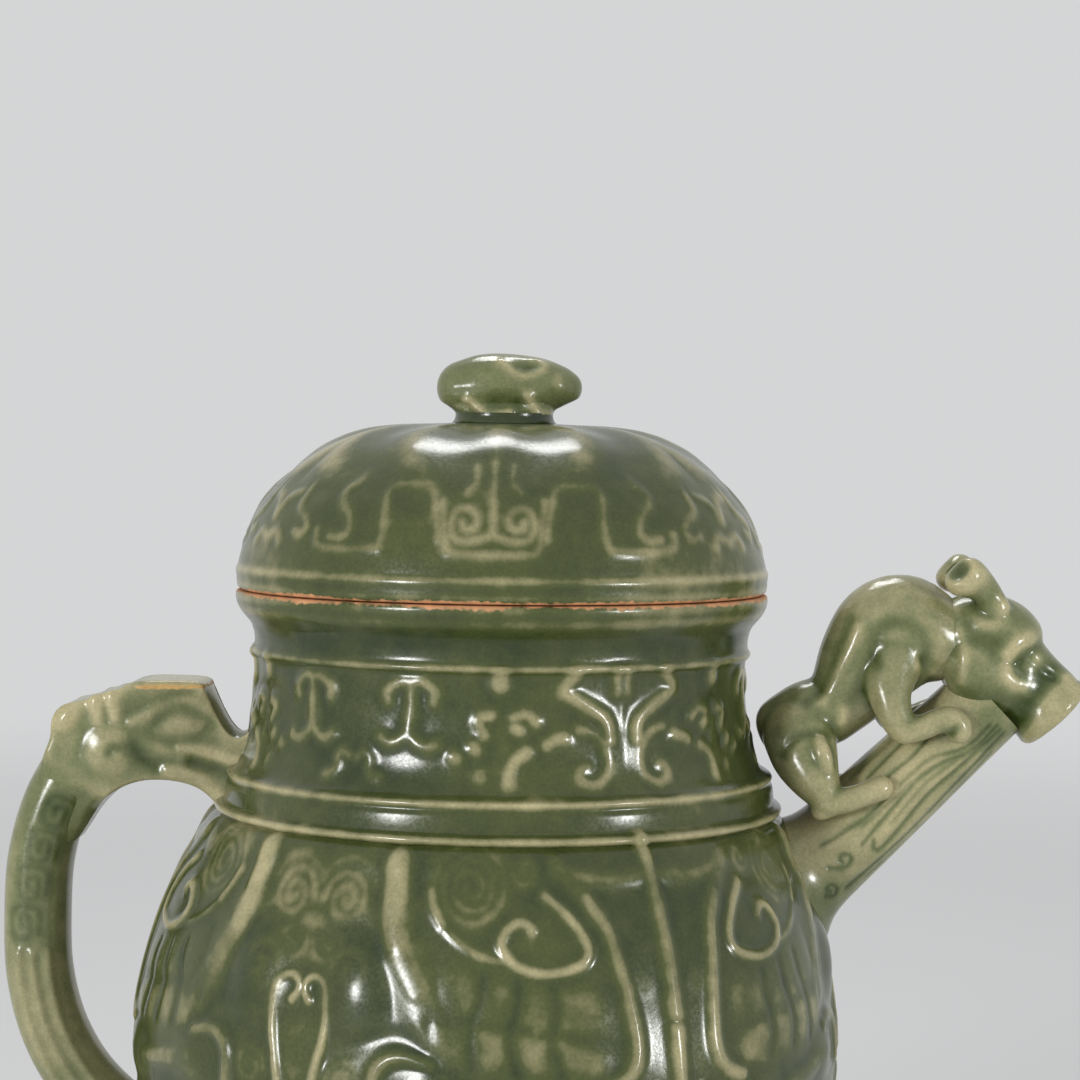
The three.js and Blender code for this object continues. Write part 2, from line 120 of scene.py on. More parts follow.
def flow(points, spacing):
    """Points at an even spacing along a smooth curve through a few points."""
    knots = np.array(points, float)
    if len(knots) < 3:
        ends = knots
    else:
        ends = np.vstack([2 * knots[0] - knots[1], knots, 2 * knots[-1] - knots[-2]])
        spans = []
        for before, start, stop, after in zip(ends, ends[1:], ends[2:], ends[3:]):
            t = np.linspace(0, 1, 12, endpoint=False)[:, None]
            spans.append(0.5 * (2 * start + (stop - before) * t
                                + (2 * before - 5 * start + 4 * stop - after) * t ** 2
                                + (3 * start - before - 3 * stop + after) * t ** 3))
        ends = np.vstack(spans + [knots[-1:]])
    run = np.concatenate([[0], np.cumsum(np.linalg.norm(np.diff(ends, axis=0), axis=1))])
    count = max(2, int(round(run[-1] / spacing)) + 1)
    stops = np.linspace(0, run[-1], count)
    return np.column_stack([np.interp(stops, run, column) for column in ends.T])


def draw_profile(name, profile, closed):
    """Draw a profile of (radius, height) in millimetres as one line of edges in the XZ plane."""
    clear_selection()
    bpy.ops.mesh.primitive_plane_add(size=MM, location=(0, 0, 0))
    piece = bpy.context.object
    piece.name = name
    bpy.ops.object.mode_set(mode="EDIT")
    bpy.ops.mesh.merge(type="CENTER")
    places = [Vector((radius * MM, 0, height * MM)) for radius, height in profile]
    bpy.ops.transform.translate(value=places[0])
    for before, after in zip(places, places[1:]):
        bpy.ops.mesh.extrude_region_move(TRANSFORM_OT_translate={"value": after - before})
    if closed:
        select_ends(piece, len(profile))
        bpy.ops.mesh.edge_face_add()
    bpy.ops.object.mode_set(mode="OBJECT")
    return piece


def select_ends(piece, count):
    """Select the first and last point of a drawn profile."""
    bpy.ops.object.mode_set(mode="OBJECT")
    for vertex in piece.data.vertices:
        vertex.select = vertex.index in (0, count - 1)
    for edge in piece.data.edges:
        edge.select = False
    bpy.ops.object.mode_set(mode="EDIT")


def turned(name, profile, steps, start=0, sweep=360, closed=False):
    """Turn a profile round the vessel's axis, weld it and face it outwards."""
    piece = draw_profile(name, profile, closed)
    apply_modifier(
        piece, "SCREW", axis="Z", angle=math.radians(sweep), steps=steps, render_steps=steps,
        screw_offset=0, use_merge_vertices=sweep == 360, merge_threshold=1e-7, use_smooth_shade=True,
    )
    turn = Matrix.Rotation(math.radians(start), 4, "Z")
    piece.data.transform(Matrix.Translation((AXIS_X, 0, 0)) @ turn)
    make_active(piece)
    bpy.ops.object.mode_set(mode="EDIT")
    bpy.ops.mesh.select_all(action="SELECT")
    bpy.ops.mesh.remove_doubles(threshold=1e-6)
    bpy.ops.object.mode_set(mode="OBJECT")
    if sweep != 360:
        for angle in (start, start + sweep):
            cap_side(piece, angle)
    face_outwards(piece)
    return piece


def cap_side(piece, angle):
    """Close the flat side that a part turn leaves open at one angle."""
    make_active(piece)
    turn = math.radians(angle)
    across = Vector((-math.sin(turn), math.cos(turn), 0))
    along = Vector((math.cos(turn), math.sin(turn), 0))
    for vertex in piece.data.vertices:
        arm = vertex.co - Vector((AXIS_X, 0, 0))
        vertex.select = abs(arm.dot(across)) < 1e-6 and arm.dot(along) > -1e-6
    for edge in piece.data.edges:
        first, last = edge.vertices
        edge.select = piece.data.vertices[first].select and piece.data.vertices[last].select
    for face in piece.data.polygons:
        face.select = False
    bpy.ops.object.mode_set(mode="EDIT")
    bpy.ops.mesh.select_mode(type="EDGE")
    bpy.ops.mesh.edge_face_add()
    bpy.ops.mesh.select_mode(type="VERT")
    bpy.ops.object.mode_set(mode="OBJECT")


# Reading and shaping meshes in millimetres from the vessel's axis

def read_points(piece):
    """The piece's points as an array, in millimetres from the vessel's axis."""
    flat = np.empty(len(piece.data.vertices) * 3, np.float32)
    piece.data.vertices.foreach_get("co", flat)
    points = flat.reshape(-1, 3).astype(float)
    points[:, 0] -= AXIS_X
    return points / MM


def write_points(piece, points):
    """Put the points back, in metres in the frame."""
    moved = points * MM
    moved[:, 0] += AXIS_X
    piece.data.vertices.foreach_set("co", moved.astype(np.float32).ravel())
    piece.data.update()


def neighbours(piece):
    """Both ends of every edge, and how many edges meet at each point."""
    flat = np.empty(len(piece.data.edges) * 2, np.int32)
    piece.data.edges.foreach_get("vertices", flat)
    ends = flat.reshape(-1, 2)
    count = np.bincount(ends.ravel(), minlength=len(piece.data.vertices))
    return ends, np.maximum(count, 1)


def soften(piece, values, rounds):
    """Spread values over neighbouring points."""
    ends, count = neighbours(piece)
    size = len(count)
    first, last = ends.T
    for _ in range(rounds):
        total = np.bincount(first, values[last], size) + np.bincount(last, values[first], size)
        values = (values + total / count) / 2
    return values


def store(piece, name, values):
    """Keep one number for each point under a name that the materials read."""
    layer = piece.data.attributes.new(name, "FLOAT", "POINT")
    layer.data.foreach_set("value", np.clip(values, 0, 1).astype(np.float32))


def stroke_fields(across, along, strokes):
    """Height in millimetres and paleness that modelled strokes give to places on a surface."""
    raised, cut, pale, dark = np.zeros((4, len(across)))
    for width, rise, tone, points in strokes:
        line = flow(points, max(0.6, width * 0.35))
        reach = width * 1.8
        low, high = line.min(axis=0) - reach, line.max(axis=0) + reach
        beside = (across > low[0]) & (across < high[0])
        near = np.flatnonzero(beside & (along > low[1]) & (along < high[1]))
        if len(near) == 0:
            continue
        here = np.column_stack([across[near], along[near]])
        closest = np.full(len(near), 1e9)
        for start, stop in zip(line, line[1:]):
            arm = stop - start
            share = np.clip((here - start) @ arm / max(arm @ arm, 1e-9), 0, 1)
            away = here - start - share[:, None] * arm
            closest = np.minimum(closest, (away ** 2).sum(axis=1))
        gap = closest / (width / 2) ** 2
        if width > BROAD_STROKE:
            reached = np.exp(-gap ** 1.35)
            tinted = np.exp(-gap ** 1.4)
        else:
            reached = np.exp(-gap ** 1.05)
            tinted = np.exp(-(closest / (width * 0.6) ** 2) ** 0.85)
        raised[near] = np.maximum(raised[near], rise * reached)
        cut[near] = np.minimum(cut[near], rise * reached)
        pale[near] = np.maximum(pale[near], tone * tinted)
        dark[near] = np.minimum(dark[near], tone * tinted)
    return raised + cut, pale + dark


def alike(width, rise, tone, *lines):
    """Strokes of one kind along several lines."""
    return tuple((width, rise, tone, line) for line in lines)


def spiral(middle, radius, turns, hand):
    """Points of a spiral that runs in to its middle."""
    angles = np.linspace(0, turns * 2 * math.pi, int(turns * 10) + 1)
    reach = radius * (1 - 0.85 * angles / angles[-1])
    angles = hand * angles
    return [(middle[0] + r * math.cos(a), middle[1] + r * math.sin(a)) for a, r in zip(angles, reach)]


def normals_of(piece):
    """The outward direction at every point."""
    flat = np.empty(len(piece.data.vertices) * 3, np.float32)
    piece.data.vertex_normals.foreach_get("vector", flat)
    return flat.reshape(-1, 3).astype(float)


def facing_sides(piece, gain, loss):
    """Share, from 0 to 1, to which each point faces the front or the back."""
    return np.clip(np.abs(normals_of(piece)[:, 1]) * gain - loss, 0, 1)


def push_out(piece, points, amount):
    """Move points out of the piece by their own amounts and put them back."""
    points += normals_of(piece) * amount[:, None]
    write_points(piece, points)


def bulge(piece, points, rounds):
    """How far each point stands out of its softened surroundings, in millimetres."""
    soft = np.column_stack([soften(piece, points[:, axis], rounds) for axis in range(3)])
    return ((points - soft) * normals_of(piece)).sum(axis=1)


def mesh_piece(name, points, faces):
    """A piece made from points in millimetres from the vessel's axis and its faces."""
    mesh = bpy.data.meshes.new(name)
    mesh.vertices.add(len(points))
    sides = len(faces[0])
    mesh.loops.add(len(faces) * sides)
    mesh.loops.foreach_set("vertex_index", np.asarray(faces, np.int32).ravel())
    mesh.polygons.add(len(faces))
    mesh.polygons.foreach_set("loop_start", np.arange(0, len(faces) * sides, sides, dtype=np.int32))
    piece = bpy.data.objects.new(name, mesh)
    bpy.context.scene.collection.objects.link(piece)
    write_points(piece, points)
    mesh.update(calc_edges=True)
    return piece


def clay_form(name, chains, place, voxel, rounds):
    """Balls of clay along smooth chains, pressed together and smoothed into one form."""
    clear_selection()
    bpy.ops.mesh.primitive_ico_sphere_add(subdivisions=3, radius=MM, location=(0, 0, 0))
    seed_piece = bpy.context.object
    seed = read_points(seed_piece) + (AXIS_X / MM, 0, 0)
    seed_faces = np.array([face.vertices[:] for face in seed_piece.data.polygons])
    bpy.data.objects.remove(seed_piece)
    points, faces = [], []
    for paired, stations in chains:
        rows = [(*middle, *half) for middle, half in stations]
        rows = flow(rows, 0.6) if len(rows) > 1 else np.array(rows, float)
        for side in (1, -1) if paired else (1,):
            for row in rows:
                faces.append(seed_faces + len(points) * len(seed))
                middle = row[:3] * (1, side, 1)
                points.append(place(seed * row[3:] + middle))
    piece = mesh_piece(name, np.vstack(points), np.vstack(faces))
    press_together(piece, voxel)
    smooth_form(piece, rounds)
    return piece


def tube(name, rings):
    """A closed tube through rings of points, with a flat cap on each end."""
    count, around = len(rings), len(rings[0])
    first = np.arange(around)
    faces = []
    for row in range(count - 1):
        here = row * around + first
        beside = row * around + (first + 1) % around
        faces.append(np.column_stack([here, beside, beside + around, here + around]))
    piece = mesh_piece(name, np.vstack(rings), np.vstack(faces))
    make_active(piece)
    bpy.ops.object.mode_set(mode="EDIT")
    bpy.ops.mesh.select_all(action="SELECT")
    bpy.ops.mesh.fill_holes(sides=0)
    bpy.ops.object.mode_set(mode="OBJECT")
    face_outwards(piece)
    return piece


def shade_form(piece, points, height, pale, base, contrast):
    """Glaze thinness of a free form: thin over what stands out, thick in the hollows."""
    edges = np.clip(bulge(piece, points, 24) / 0.45, -1, 1.2)
    forms = np.clip(bulge(piece, points, 90) / 1.2, -1, 1.2)
    return soften(piece, base + contrast * (0.8 * edges + 0.6 * forms) + pale, 3)


# Materials

OLIVE_TONES = ("pooled", "body", "thin", "clay")
GLAZE_TONES = {
    "Olive glaze": OLIVE_TONES,
    "Pale glaze": ("pale_pooled", "pale_body", "thin", "ochre"),
    "Bare clay": OLIVE_TONES,
}
# Noise scale and detail of each grain in glaze and clay
CLOUDS, RIPPLES, SPECKS, WAVES = (30, 3), (220, 2), (1500, 2), (110, 1)
EDGE_CRUMBS, EDGE_RUNS, SAND = (700, 3), (70, 2), (420, 4)
GLAZE_WASH = 0.18
GLAZE_INDEX = 1.5


def new_material(name):
    """A node material and its Principled shader."""
    material = bpy.data.materials.new(name)
    material.use_nodes = True
    return material, material.node_tree.nodes["Principled BSDF"]


def glaze_group():
    """Shader nodes for glaze: dark where it pools, pale where it runs thin, cloudy and specked."""
    group = bpy.data.node_groups.new("Glaze Skin", "ShaderNodeTree")
    for name in ("Pooled", "Body", "Thin", "Clay"):
        group.interface.new_socket(name, in_out="INPUT", socket_type="NodeSocketColor")
    group.interface.new_socket("Wash", in_out="INPUT", socket_type="NodeSocketFloat")
    group.interface.new_socket("Color", in_out="OUTPUT", socket_type="NodeSocketColor")
    for name in ("Height", "Roughness"):
        group.interface.new_socket(name, in_out="OUTPUT", socket_type="NodeSocketFloat")
    nodes, links = group.nodes, group.links
    given = nodes.new("NodeGroupInput")
    out = nodes.new("NodeGroupOutput")
    place = nodes.new("ShaderNodeTexCoord")

    def noise(scale, detail):
        texture = nodes.new("ShaderNodeTexNoise")
        texture.inputs["Scale"].default_value = scale
        texture.inputs["Detail"].default_value = detail
        links.new(place.outputs["Object"], texture.inputs["Vector"])
        return texture.outputs["Fac"]

    def measure(name):
        reader = nodes.new("ShaderNodeAttribute")
        reader.attribute_name = name
        return reader.outputs["Fac"]

    def spread(source, low, high, to_low, to_high):
        remap = nodes.new("ShaderNodeMapRange")
        limits = {"From Min": low, "From Max": high, "To Min": to_low, "To Max": to_high}
        for socket, value in limits.items():
            remap.inputs[socket].default_value = value
        links.new(source, remap.inputs["Value"])
        return remap.outputs["Result"]

    def scale(colour, amount):
        scaled = nodes.new("ShaderNodeVectorMath")
        scaled.operation = "SCALE"
        links.new(colour, scaled.inputs[0])
        links.new(amount, scaled.inputs["Scale"])
        return scaled.outputs["Vector"]

    def add(one, other):
        total = nodes.new("ShaderNodeMath")
        links.new(one, total.inputs[0])
        links.new(other, total.inputs[1])
        return total.outputs[0]

    def blend(share, one, other):
        mixer = nodes.new("ShaderNodeMix")
        mixer.data_type = "RGBA"
        links.new(share, mixer.inputs["Factor"])
        links.new(one, mixer.inputs["A"])
        links.new(other, mixer.inputs["B"])
        return mixer.outputs["Result"]

    cloud, speck, ripple = noise(*CLOUDS), noise(*SPECKS), noise(*RIPPLES)
    swing = nodes.new("ShaderNodeMath")
    swing.operation = "MULTIPLY"
    links.new(spread(cloud, 0.3, 0.7, -1, 1), swing.inputs[0])
    links.new(given.outputs["Wash"], swing.inputs[1])
    depth = add(measure("thin"), add(swing.outputs[0], spread(ripple, 0.3, 0.7, -0.08, 0.08)))
    tone = blend(spread(depth, 0, 0.5, 0, 1), given.outputs["Pooled"], given.outputs["Body"])
    tone = blend(spread(depth, 0.5, 1, 0, 1), tone, given.outputs["Thin"])
    glaze = scale(tone, spread(speck, 0.3, 0.7, 0.88, 1.12))
    crumbs = spread(noise(*EDGE_CRUMBS), 0.3, 0.7, -0.14, 0.14)
    runs = spread(noise(*EDGE_RUNS), 0.3, 0.7, -0.22, 0.14)
    bare = spread(add(measure("bare"), add(crumbs, runs)), 0.42, 0.58, 0, 1)
    clay = scale(given.outputs["Clay"], spread(noise(*SAND), 0.3, 0.7, 0.7, 1.2))
    links.new(blend(bare, glaze, clay), out.inputs["Color"])
    wave = add(cloud, spread(noise(*WAVES), 0, 1, 0, 0.3))
    links.new(add(wave, spread(speck, 0, 1, 0, 0.12)), out.inputs["Height"])
    gloss = spread(speck, 0.3, 0.7, 0.15, 0.27)
    links.new(add(gloss, spread(bare, 0, 1, 0, 0.55)), out.inputs["Roughness"])
    return group


def glaze_material(name):
    """Glossy celadon glaze over clay, in the tones of its material."""
    settings = bpy.context.scene.ewer
    material, shader = new_material(name)
    nodes, links = material.node_tree.nodes, material.node_tree.links
    skin = nodes.new("ShaderNodeGroup")
    skin.node_tree = bpy.data.node_groups.get("Glaze Skin") or glaze_group()
    for socket, tone in zip(("Pooled", "Body", "Thin", "Clay"), GLAZE_TONES[name]):
        skin.inputs[socket].default_value = getattr(settings, tone)[:]
    skin.inputs["Wash"].default_value = GLAZE_WASH
    bump = nodes.new("ShaderNodeBump")
    bump.inputs["Strength"].default_value = 0.12
    bump.inputs["Distance"].default_value = 0.0008
    links.new(skin.outputs["Color"], shader.inputs["Base Color"])
    links.new(skin.outputs["Roughness"], shader.inputs["Roughness"])
    links.new(skin.outputs["Height"], bump.inputs["Height"])
    links.new(bump.outputs["Normal"], shader.inputs["Normal"])
    shader.inputs["IOR"].default_value = GLAZE_INDEX
    return material


def finish_piece(piece, body, material, replaced, thin, bare=None):
    """Give a finished piece its glaze, body and the nodes that it stands for."""
    store(piece, "thin", thin)
    store(piece, "bare", np.zeros(len(thin)) if bare is None else bare)
    piece.data.materials.clear()
    piece.data.materials.append(bpy.data.materials.get(material) or glaze_material(material))
    make_active(piece)
    bpy.ops.object.shade_smooth_by_angle(angle=CREASE_ANGLE)
    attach(piece, body)
    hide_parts(*replaced)


class EwerSettings(bpy.types.PropertyGroup):
    """Colours and sizes that a user would change."""

    pooled: bpy.props.FloatVectorProperty(
        name="Pooled glaze", description="Colour where the glaze lies thick",
        subtype="COLOR", size=4, min=0, max=1, default=(0.014, 0.027, 0.007, 1),
    )
    body: bpy.props.FloatVectorProperty(
        name="Body glaze", description="Colour of the glaze over a plain wall",
        subtype="COLOR", size=4, min=0, max=1, default=(0.07, 0.085, 0.022, 1),
    )
    thin: bpy.props.FloatVectorProperty(
        name="Thin glaze", description="Colour where the glaze runs thin over an edge",
        subtype="COLOR", size=4, min=0, max=1, default=(0.45, 0.4, 0.22, 1),
    )
    pale_body: bpy.props.FloatVectorProperty(
        name="Pale body glaze", description="Colour of the thinner glaze on spout, beast, handle and knob",
        subtype="COLOR", size=4, min=0, max=1, default=(0.16, 0.178, 0.076, 1),
    )
    pale_pooled: bpy.props.FloatVectorProperty(
        name="Pale pooled glaze", description="Colour in the hollows of spout, beast, handle and knob",
        subtype="COLOR", size=4, min=0, max=1, default=(0.03, 0.05, 0.006, 1),
    )
    clay: bpy.props.FloatVectorProperty(
        name="Bare clay", description="Colour of the unglazed clay",
        subtype="COLOR", size=4, min=0, max=1, default=(0.56, 0.28, 0.13, 1),
    )
    ochre: bpy.props.FloatVectorProperty(
        name="Ochre clay", description="Colour of the bare clay on the dragon's crown",
        subtype="COLOR", size=4, min=0, max=1, default=(0.6, 0.38, 0.14, 1),
    )
    relief: bpy.props.FloatProperty(
        name="Relief", description="Share of the full height of the modelled relief",
        min=0, max=2, default=1,
    )


# Belly: heights above the table, angles in degrees from the nose ridge of a mask

LOBE_COUNT = 3
LOBE_PUSH = 2.4
LOBE_SWEEP = 360 / LOBE_COUNT
LOBE_STEPS = 356
BELLY_BOTTOM = 28
BELLY_SEAM = 60.2
MASK_AZIMUTH = -60
MASK_RADIUS = 72

BELLY_OUTLINE = (
    (0, 28.2), (20, 28.5), (32, 29.6), (45, 32.6), (54, 37), (63, 44.5), (69, 52), (74, 62.5), (76.5, 72),
    (77.1, 80), (76.6, 87), (75.3, 94.5), (73.7, 101.5), (71.6, 109), (68.5, 117.2), (65.8, 122.5),
    (64.2, 126.4), (62.9, 128.6), (61.4, 129.9),
)
SHOULDER_RING = ((61.2, 130.1), (61.9, 130.5), (62.3, 131.2), (61.9, 131.9), (61, 132.3), (60.3, 132.7))
BELLY_INSIDE = (
    (55, NECK_JOINT), (58.6, 126), (63.5, 117), (68.2, 106), (71, 94), (71.8, 82), (70.4, 68), (66, 54.5),
    (58, 43.5), (47, 37), (32, 33.8), (0, 33.2),
)

# Pale rings: height, breadth and paleness
SHOULDER_TONES = ((131.2, 0.9, 0.85),)
# Strokes of the mask: width and height in millimetres, paleness, then (angle, height) points
MASK_STROKES = (
    # Nose ridge and brow
    (3.4, 1.0, 0.8, ((0, 131.5), (0, 114), (0, 98.6))),
    (2.6, 0.95, 0.72, ((0.3, 96), (0, 86), (0, 64))),
    (3.9, 0.6, 0.46, ((1, 124.6), (6, 124.2), (12, 124.4), (16.6, 126.2))),
    (4.4, 0.65, 0.34, ((17.2, 127), (14, 123.2), (10.6, 117.6))),
    # Line beside the nose
    (2.9, 0.95, 0.74, ((12.4, 120.5), (9.7, 115), (8.2, 108), (7.3, 101.8), (6.6, 95), (6.8, 90.5),
        (8.2, 87.4), (11, 85.6))),
    # Eye
    (2.1, 0.8, 0.8, ((19.5, 121.5), (16, 117.8), (13.6, 113.7), (13.1, 110.7), (14.8, 108.4), (19.8, 107),
        (24.4, 108.5), (26.6, 111.6), (26.2, 114.4), (24.4, 116.3), (22.6, 116.2), (21.8, 115.1))),
    (2.1, 0.45, 0.7, ((38.9, 121.8), (38, 118.6), (36.4, 115.6))),
    (1.6, 0.4, 0.42, ((37, 116.4), (34, 113), (30.4, 110.3), (25.4, 108.8), (20, 107.2))),
    # Horn
    (6.2, 1.0, 0.94, ((45.4, 126.6), (45, 120.3), (44.8, 116), (43.6, 111.4))),
    (7.4, 0.85, 0.76, ((44.8, 117), (43.4, 111), (41.4, 106.4), (39.6, 103))),
    (9.8, 0.65, 0.6, ((42.8, 109), (40, 103.4), (37.8, 98.8), (35.8, 94.6))),
    # Two rows of feathers
    (12, 0.6, 0.42, ((33.4, 102.6), (27, 101.6), (21, 100.2), (15.6, 98.8))),
    (11, 0.6, 0.54, ((34.6, 94.6), (28.3, 92.8), (22, 92), (16, 91.6))),
    (7.2, 0.4, 0.46, ((33.2, 103.4), (32.4, 100.8))),
    (7.2, 0.4, 0.46, ((27.2, 102.8), (26.8, 100))),
    (7.2, 0.4, 0.44, ((21.6, 101.8), (21, 99.2))),
    (6.6, 0.4, 0.44, ((15.4, 100.6), (12.8, 99))),
    (7.4, 0.5, 0.66, ((34.4, 95.4), (34, 92.6))),
    (7.4, 0.5, 0.68, ((28.2, 94.6), (28, 91.6))),
    (7.4, 0.5, 0.68, ((22.2, 93.8), (22, 90.8))),
    (7.2, 0.5, 0.64, ((15.8, 92.6), (13.6, 90.4))),
    # Cuts between the feathers
    (2.1, -0.22, -0.42, ((29.6, 106), (29.8, 101.9), (31, 97.6), (31.2, 93), (30.6, 89.2))),
    (2.1, -0.22, -0.42, ((24.2, 105), (24.2, 100.2), (25.4, 96.2), (25.2, 92.4), (24.4, 88.8))),
    (2.1, -0.22, -0.42, ((18.8, 103.8), (18.4, 99.6), (19.2, 95.6), (18.8, 91.8), (17.8, 88.4))),
    (2.2, -0.08, -0.22, ((37, 98.4), (33.4, 96.8), (30.8, 98), (27.6, 96.2), (24.8, 97.2), (21.6, 95.2),
        (18.6, 96), (14.6, 94.4))),
    (2.6, -0.2, -0.2, ((37.6, 97), (37.4, 94), (36.6, 90.8))),
    # Curl, and grooves round the boss between two masks
    (1.7, 0.75, 0.76, ((57.6, 79), (56.4, 85.3), (55, 93), (54.9, 98.7), (55.6, 102.6), (57.5, 104),
        (59.2, 103), (59.4, 101), (58.3, 99.2))),
    (2.8, -0.05, -0.26, ((58.4, 110), (55.4, 113.6), (51.2, 114.8), (48.4, 113), (46.6, 109.6))),
    (3.6, -0.3, -0.26, ((54, 88.4), (49.6, 91.6), (45, 93.8), (41, 94), (38, 92.2))),
    # Mouth and the scrolls under it
    (4.2, 0.7, 0.5, ((20.2, 79.6), (28, 81.5), (36.8, 83.9))),
    (3.0, 0.9, 0.58, ((37.4, 89.4), (41, 90.4), (44, 89.6), (45.8, 86.6), (46.2, 80.6))),
    (2.2, 0.5, 0.45, ((4, 84), (9, 79), (16, 76.4), (24, 77))),
    (2.6, 0.7, 0.5, ((0, 62), (7, 60.6), (14, 62.4), (18, 67), (15, 71), (10.6, 70.4))),
    (2.6, 0.7, 0.5, ((18, 66), (26, 60), (36, 58), (44, 61), (47, 67), (42, 70.6), (37.6, 68))),
    (2.2, 0.6, 0.45, ((60, 58), (55, 62), (51.4, 70), (52, 77))),
)
# Soft swellings: (angle, height), half sizes across and up, height and paleness
MASK_SWELLS = (
    ((50.6, 102.4), (11.4, 13.4), 1.7, 0.14), ((37, 84), (11, 8), 1.0, 0.34),
    ((14.6, 79.6), (10, 10), 1.0, 0.26), ((27, 69), (15, 10), 1.2, 0.26),
)
# Faint fret spirals of the ground: (angle, height), radius, turns and hand, then plain lines
GROUND_SPIRALS = (
    ((54.4, 119.2), 5.6, 1.9, 1), ((32, 122.8), 8.4, 3, 1), ((56, 110.6), 4, 1.5, -1),
    ((22.6, 126), 3, 1.2, -1), ((51, 85), 4, 1.6, 1), ((51, 105.6), 4.6, 1.2, 1), ((5, 104), 2.2, 1.2, 1),
    ((33, 68), 5, 1.6, 1), ((50, 58), 5, 1.8, -1), ((12, 54), 4, 1.5, -1),
)
GROUND_LINES = alike(2.6, 0.05, 0.28,
    ((38.4, 127.4), (34, 129.6), (28.4, 129), (24.6, 126)),
    ((49, 122.6), (51, 125.6), (55, 127), (58.4, 125), (60.4, 122.8)),
    ((47.6, 115), (50.6, 117.4)),
    ((56.6, 112.6), (58.6, 114.4), (60.4, 114)),
)


def ground_spirals():
    """Low fret spirals that fill the ground between the main strokes, round on the wall."""
    strokes = []
    degree = math.radians(1) * MASK_RADIUS
    for (angle, level), radius, turns, hand in GROUND_SPIRALS:
        places = spiral((angle * degree, level), radius, turns, hand)
        strokes.append((2.2, 0.05, 0.38, [(x / degree, z) for x, z in places]))
    return tuple(strokes)


def in_millimetres(strokes, radius):
    """Strokes with their angles turned into millimetres round a wall of one radius."""
    degree = math.radians(1) * radius
    return [
        (width, rise, tone, [(angle * degree, z) for angle, z in points])
        for width, rise, tone, points in strokes
    ]


def wall_strokes(points, angle, strokes, radius):
    """Height and paleness that strokes give to a turned wall, drawn at one radius."""
    across = angle * math.radians(1) * radius
    return stroke_fields(across, points[:, 2], in_millimetres(strokes, radius))


def folded_angle(points, azimuth):
    """Angle of each point from the nearest mask axis, in degrees from 0 to 60."""
    around = np.degrees(np.arctan2(points[:, 1], points[:, 0])) - azimuth
    return np.abs((around + LOBE_SWEEP / 2) % LOBE_SWEEP - LOBE_SWEEP / 2)


def outer_skin(points, outline):
    """Each point's distance from the axis, and whether it lies on the wall's outer skin."""
    radius = np.hypot(points[:, 0], points[:, 1])
    return radius, radius > np.interp(points[:, 2], outline[:, 1], outline[:, 0]) - SKIN_DEPTH


def widen(points, scale):
    """Move points out from the vessel's axis, each by its own scale."""
    points[:, :2] *= scale[:, None]


def ring_tones(pale, points, skin, rings):
    """Paleness with raised rings added, each with its height, breadth and tone."""
    for level, breadth, tone in rings:
        pale = np.maximum(pale, tone * np.exp(-((points[:, 2] - level) / breadth) ** 2) * skin)
    return pale


def swell_fields(angle, up, radius, swells):
    """Height and paleness of soft egg-shaped swellings."""
    height = np.zeros(len(angle))
    pale = np.zeros(len(angle))
    degree = math.radians(1) * radius
    for (middle, level), (half_across, half_up), rise, tone in swells:
        gap = ((angle - middle) * degree / half_across) ** 2 + ((up - level) / half_up) ** 2
        dome = 0.5 + 0.5 * np.cos(math.pi * np.sqrt(np.clip(gap, 0, 1)))
        height = np.maximum(height, rise * dome)
        pale = np.maximum(pale, tone * dome * (1 - 0.4 * (up - level) / half_up))
    return height, pale


def push_along_wall(points, outline, amount):
    """Move points on a turned wall outwards, square to its outline."""
    line = np.array(outline)
    slope = np.gradient(line, axis=0)
    slope /= np.linalg.norm(slope, axis=1)[:, None]
    radius = np.hypot(points[:, 0], points[:, 1])
    out = np.interp(points[:, 2], line[:, 1], slope[:, 1])
    up = np.interp(points[:, 2], line[:, 1], -slope[:, 0])
    widen(points, 1 + out * amount / np.maximum(radius, 1))
    points[:, 2] += up * amount


def lobe_push(points):
    """How far the lobes swell out at each point of the belly."""
    rise = np.clip((points[:, 2] - BELLY_BOTTOM) / (NECK_JOINT - BELLY_BOTTOM), 0, 1)
    around = np.arctan2(points[:, 1], points[:, 0]) - math.pi
    return LOBE_PUSH * np.sin(math.pi * rise) ** 0.8 * np.cos(LOBE_COUNT * around)


def edge_tones(piece, height, pale, ground=0.36, pool=0.5):
    """Glaze thinness from paleness, with darker pools beside whatever is raised."""
    raised = np.clip(height, 0, 0.7)
    near = soften(piece, raised, 40)
    return ground + pale * (1 - ground) - pool * np.clip(near * 1.5 - raised, 0, 1)


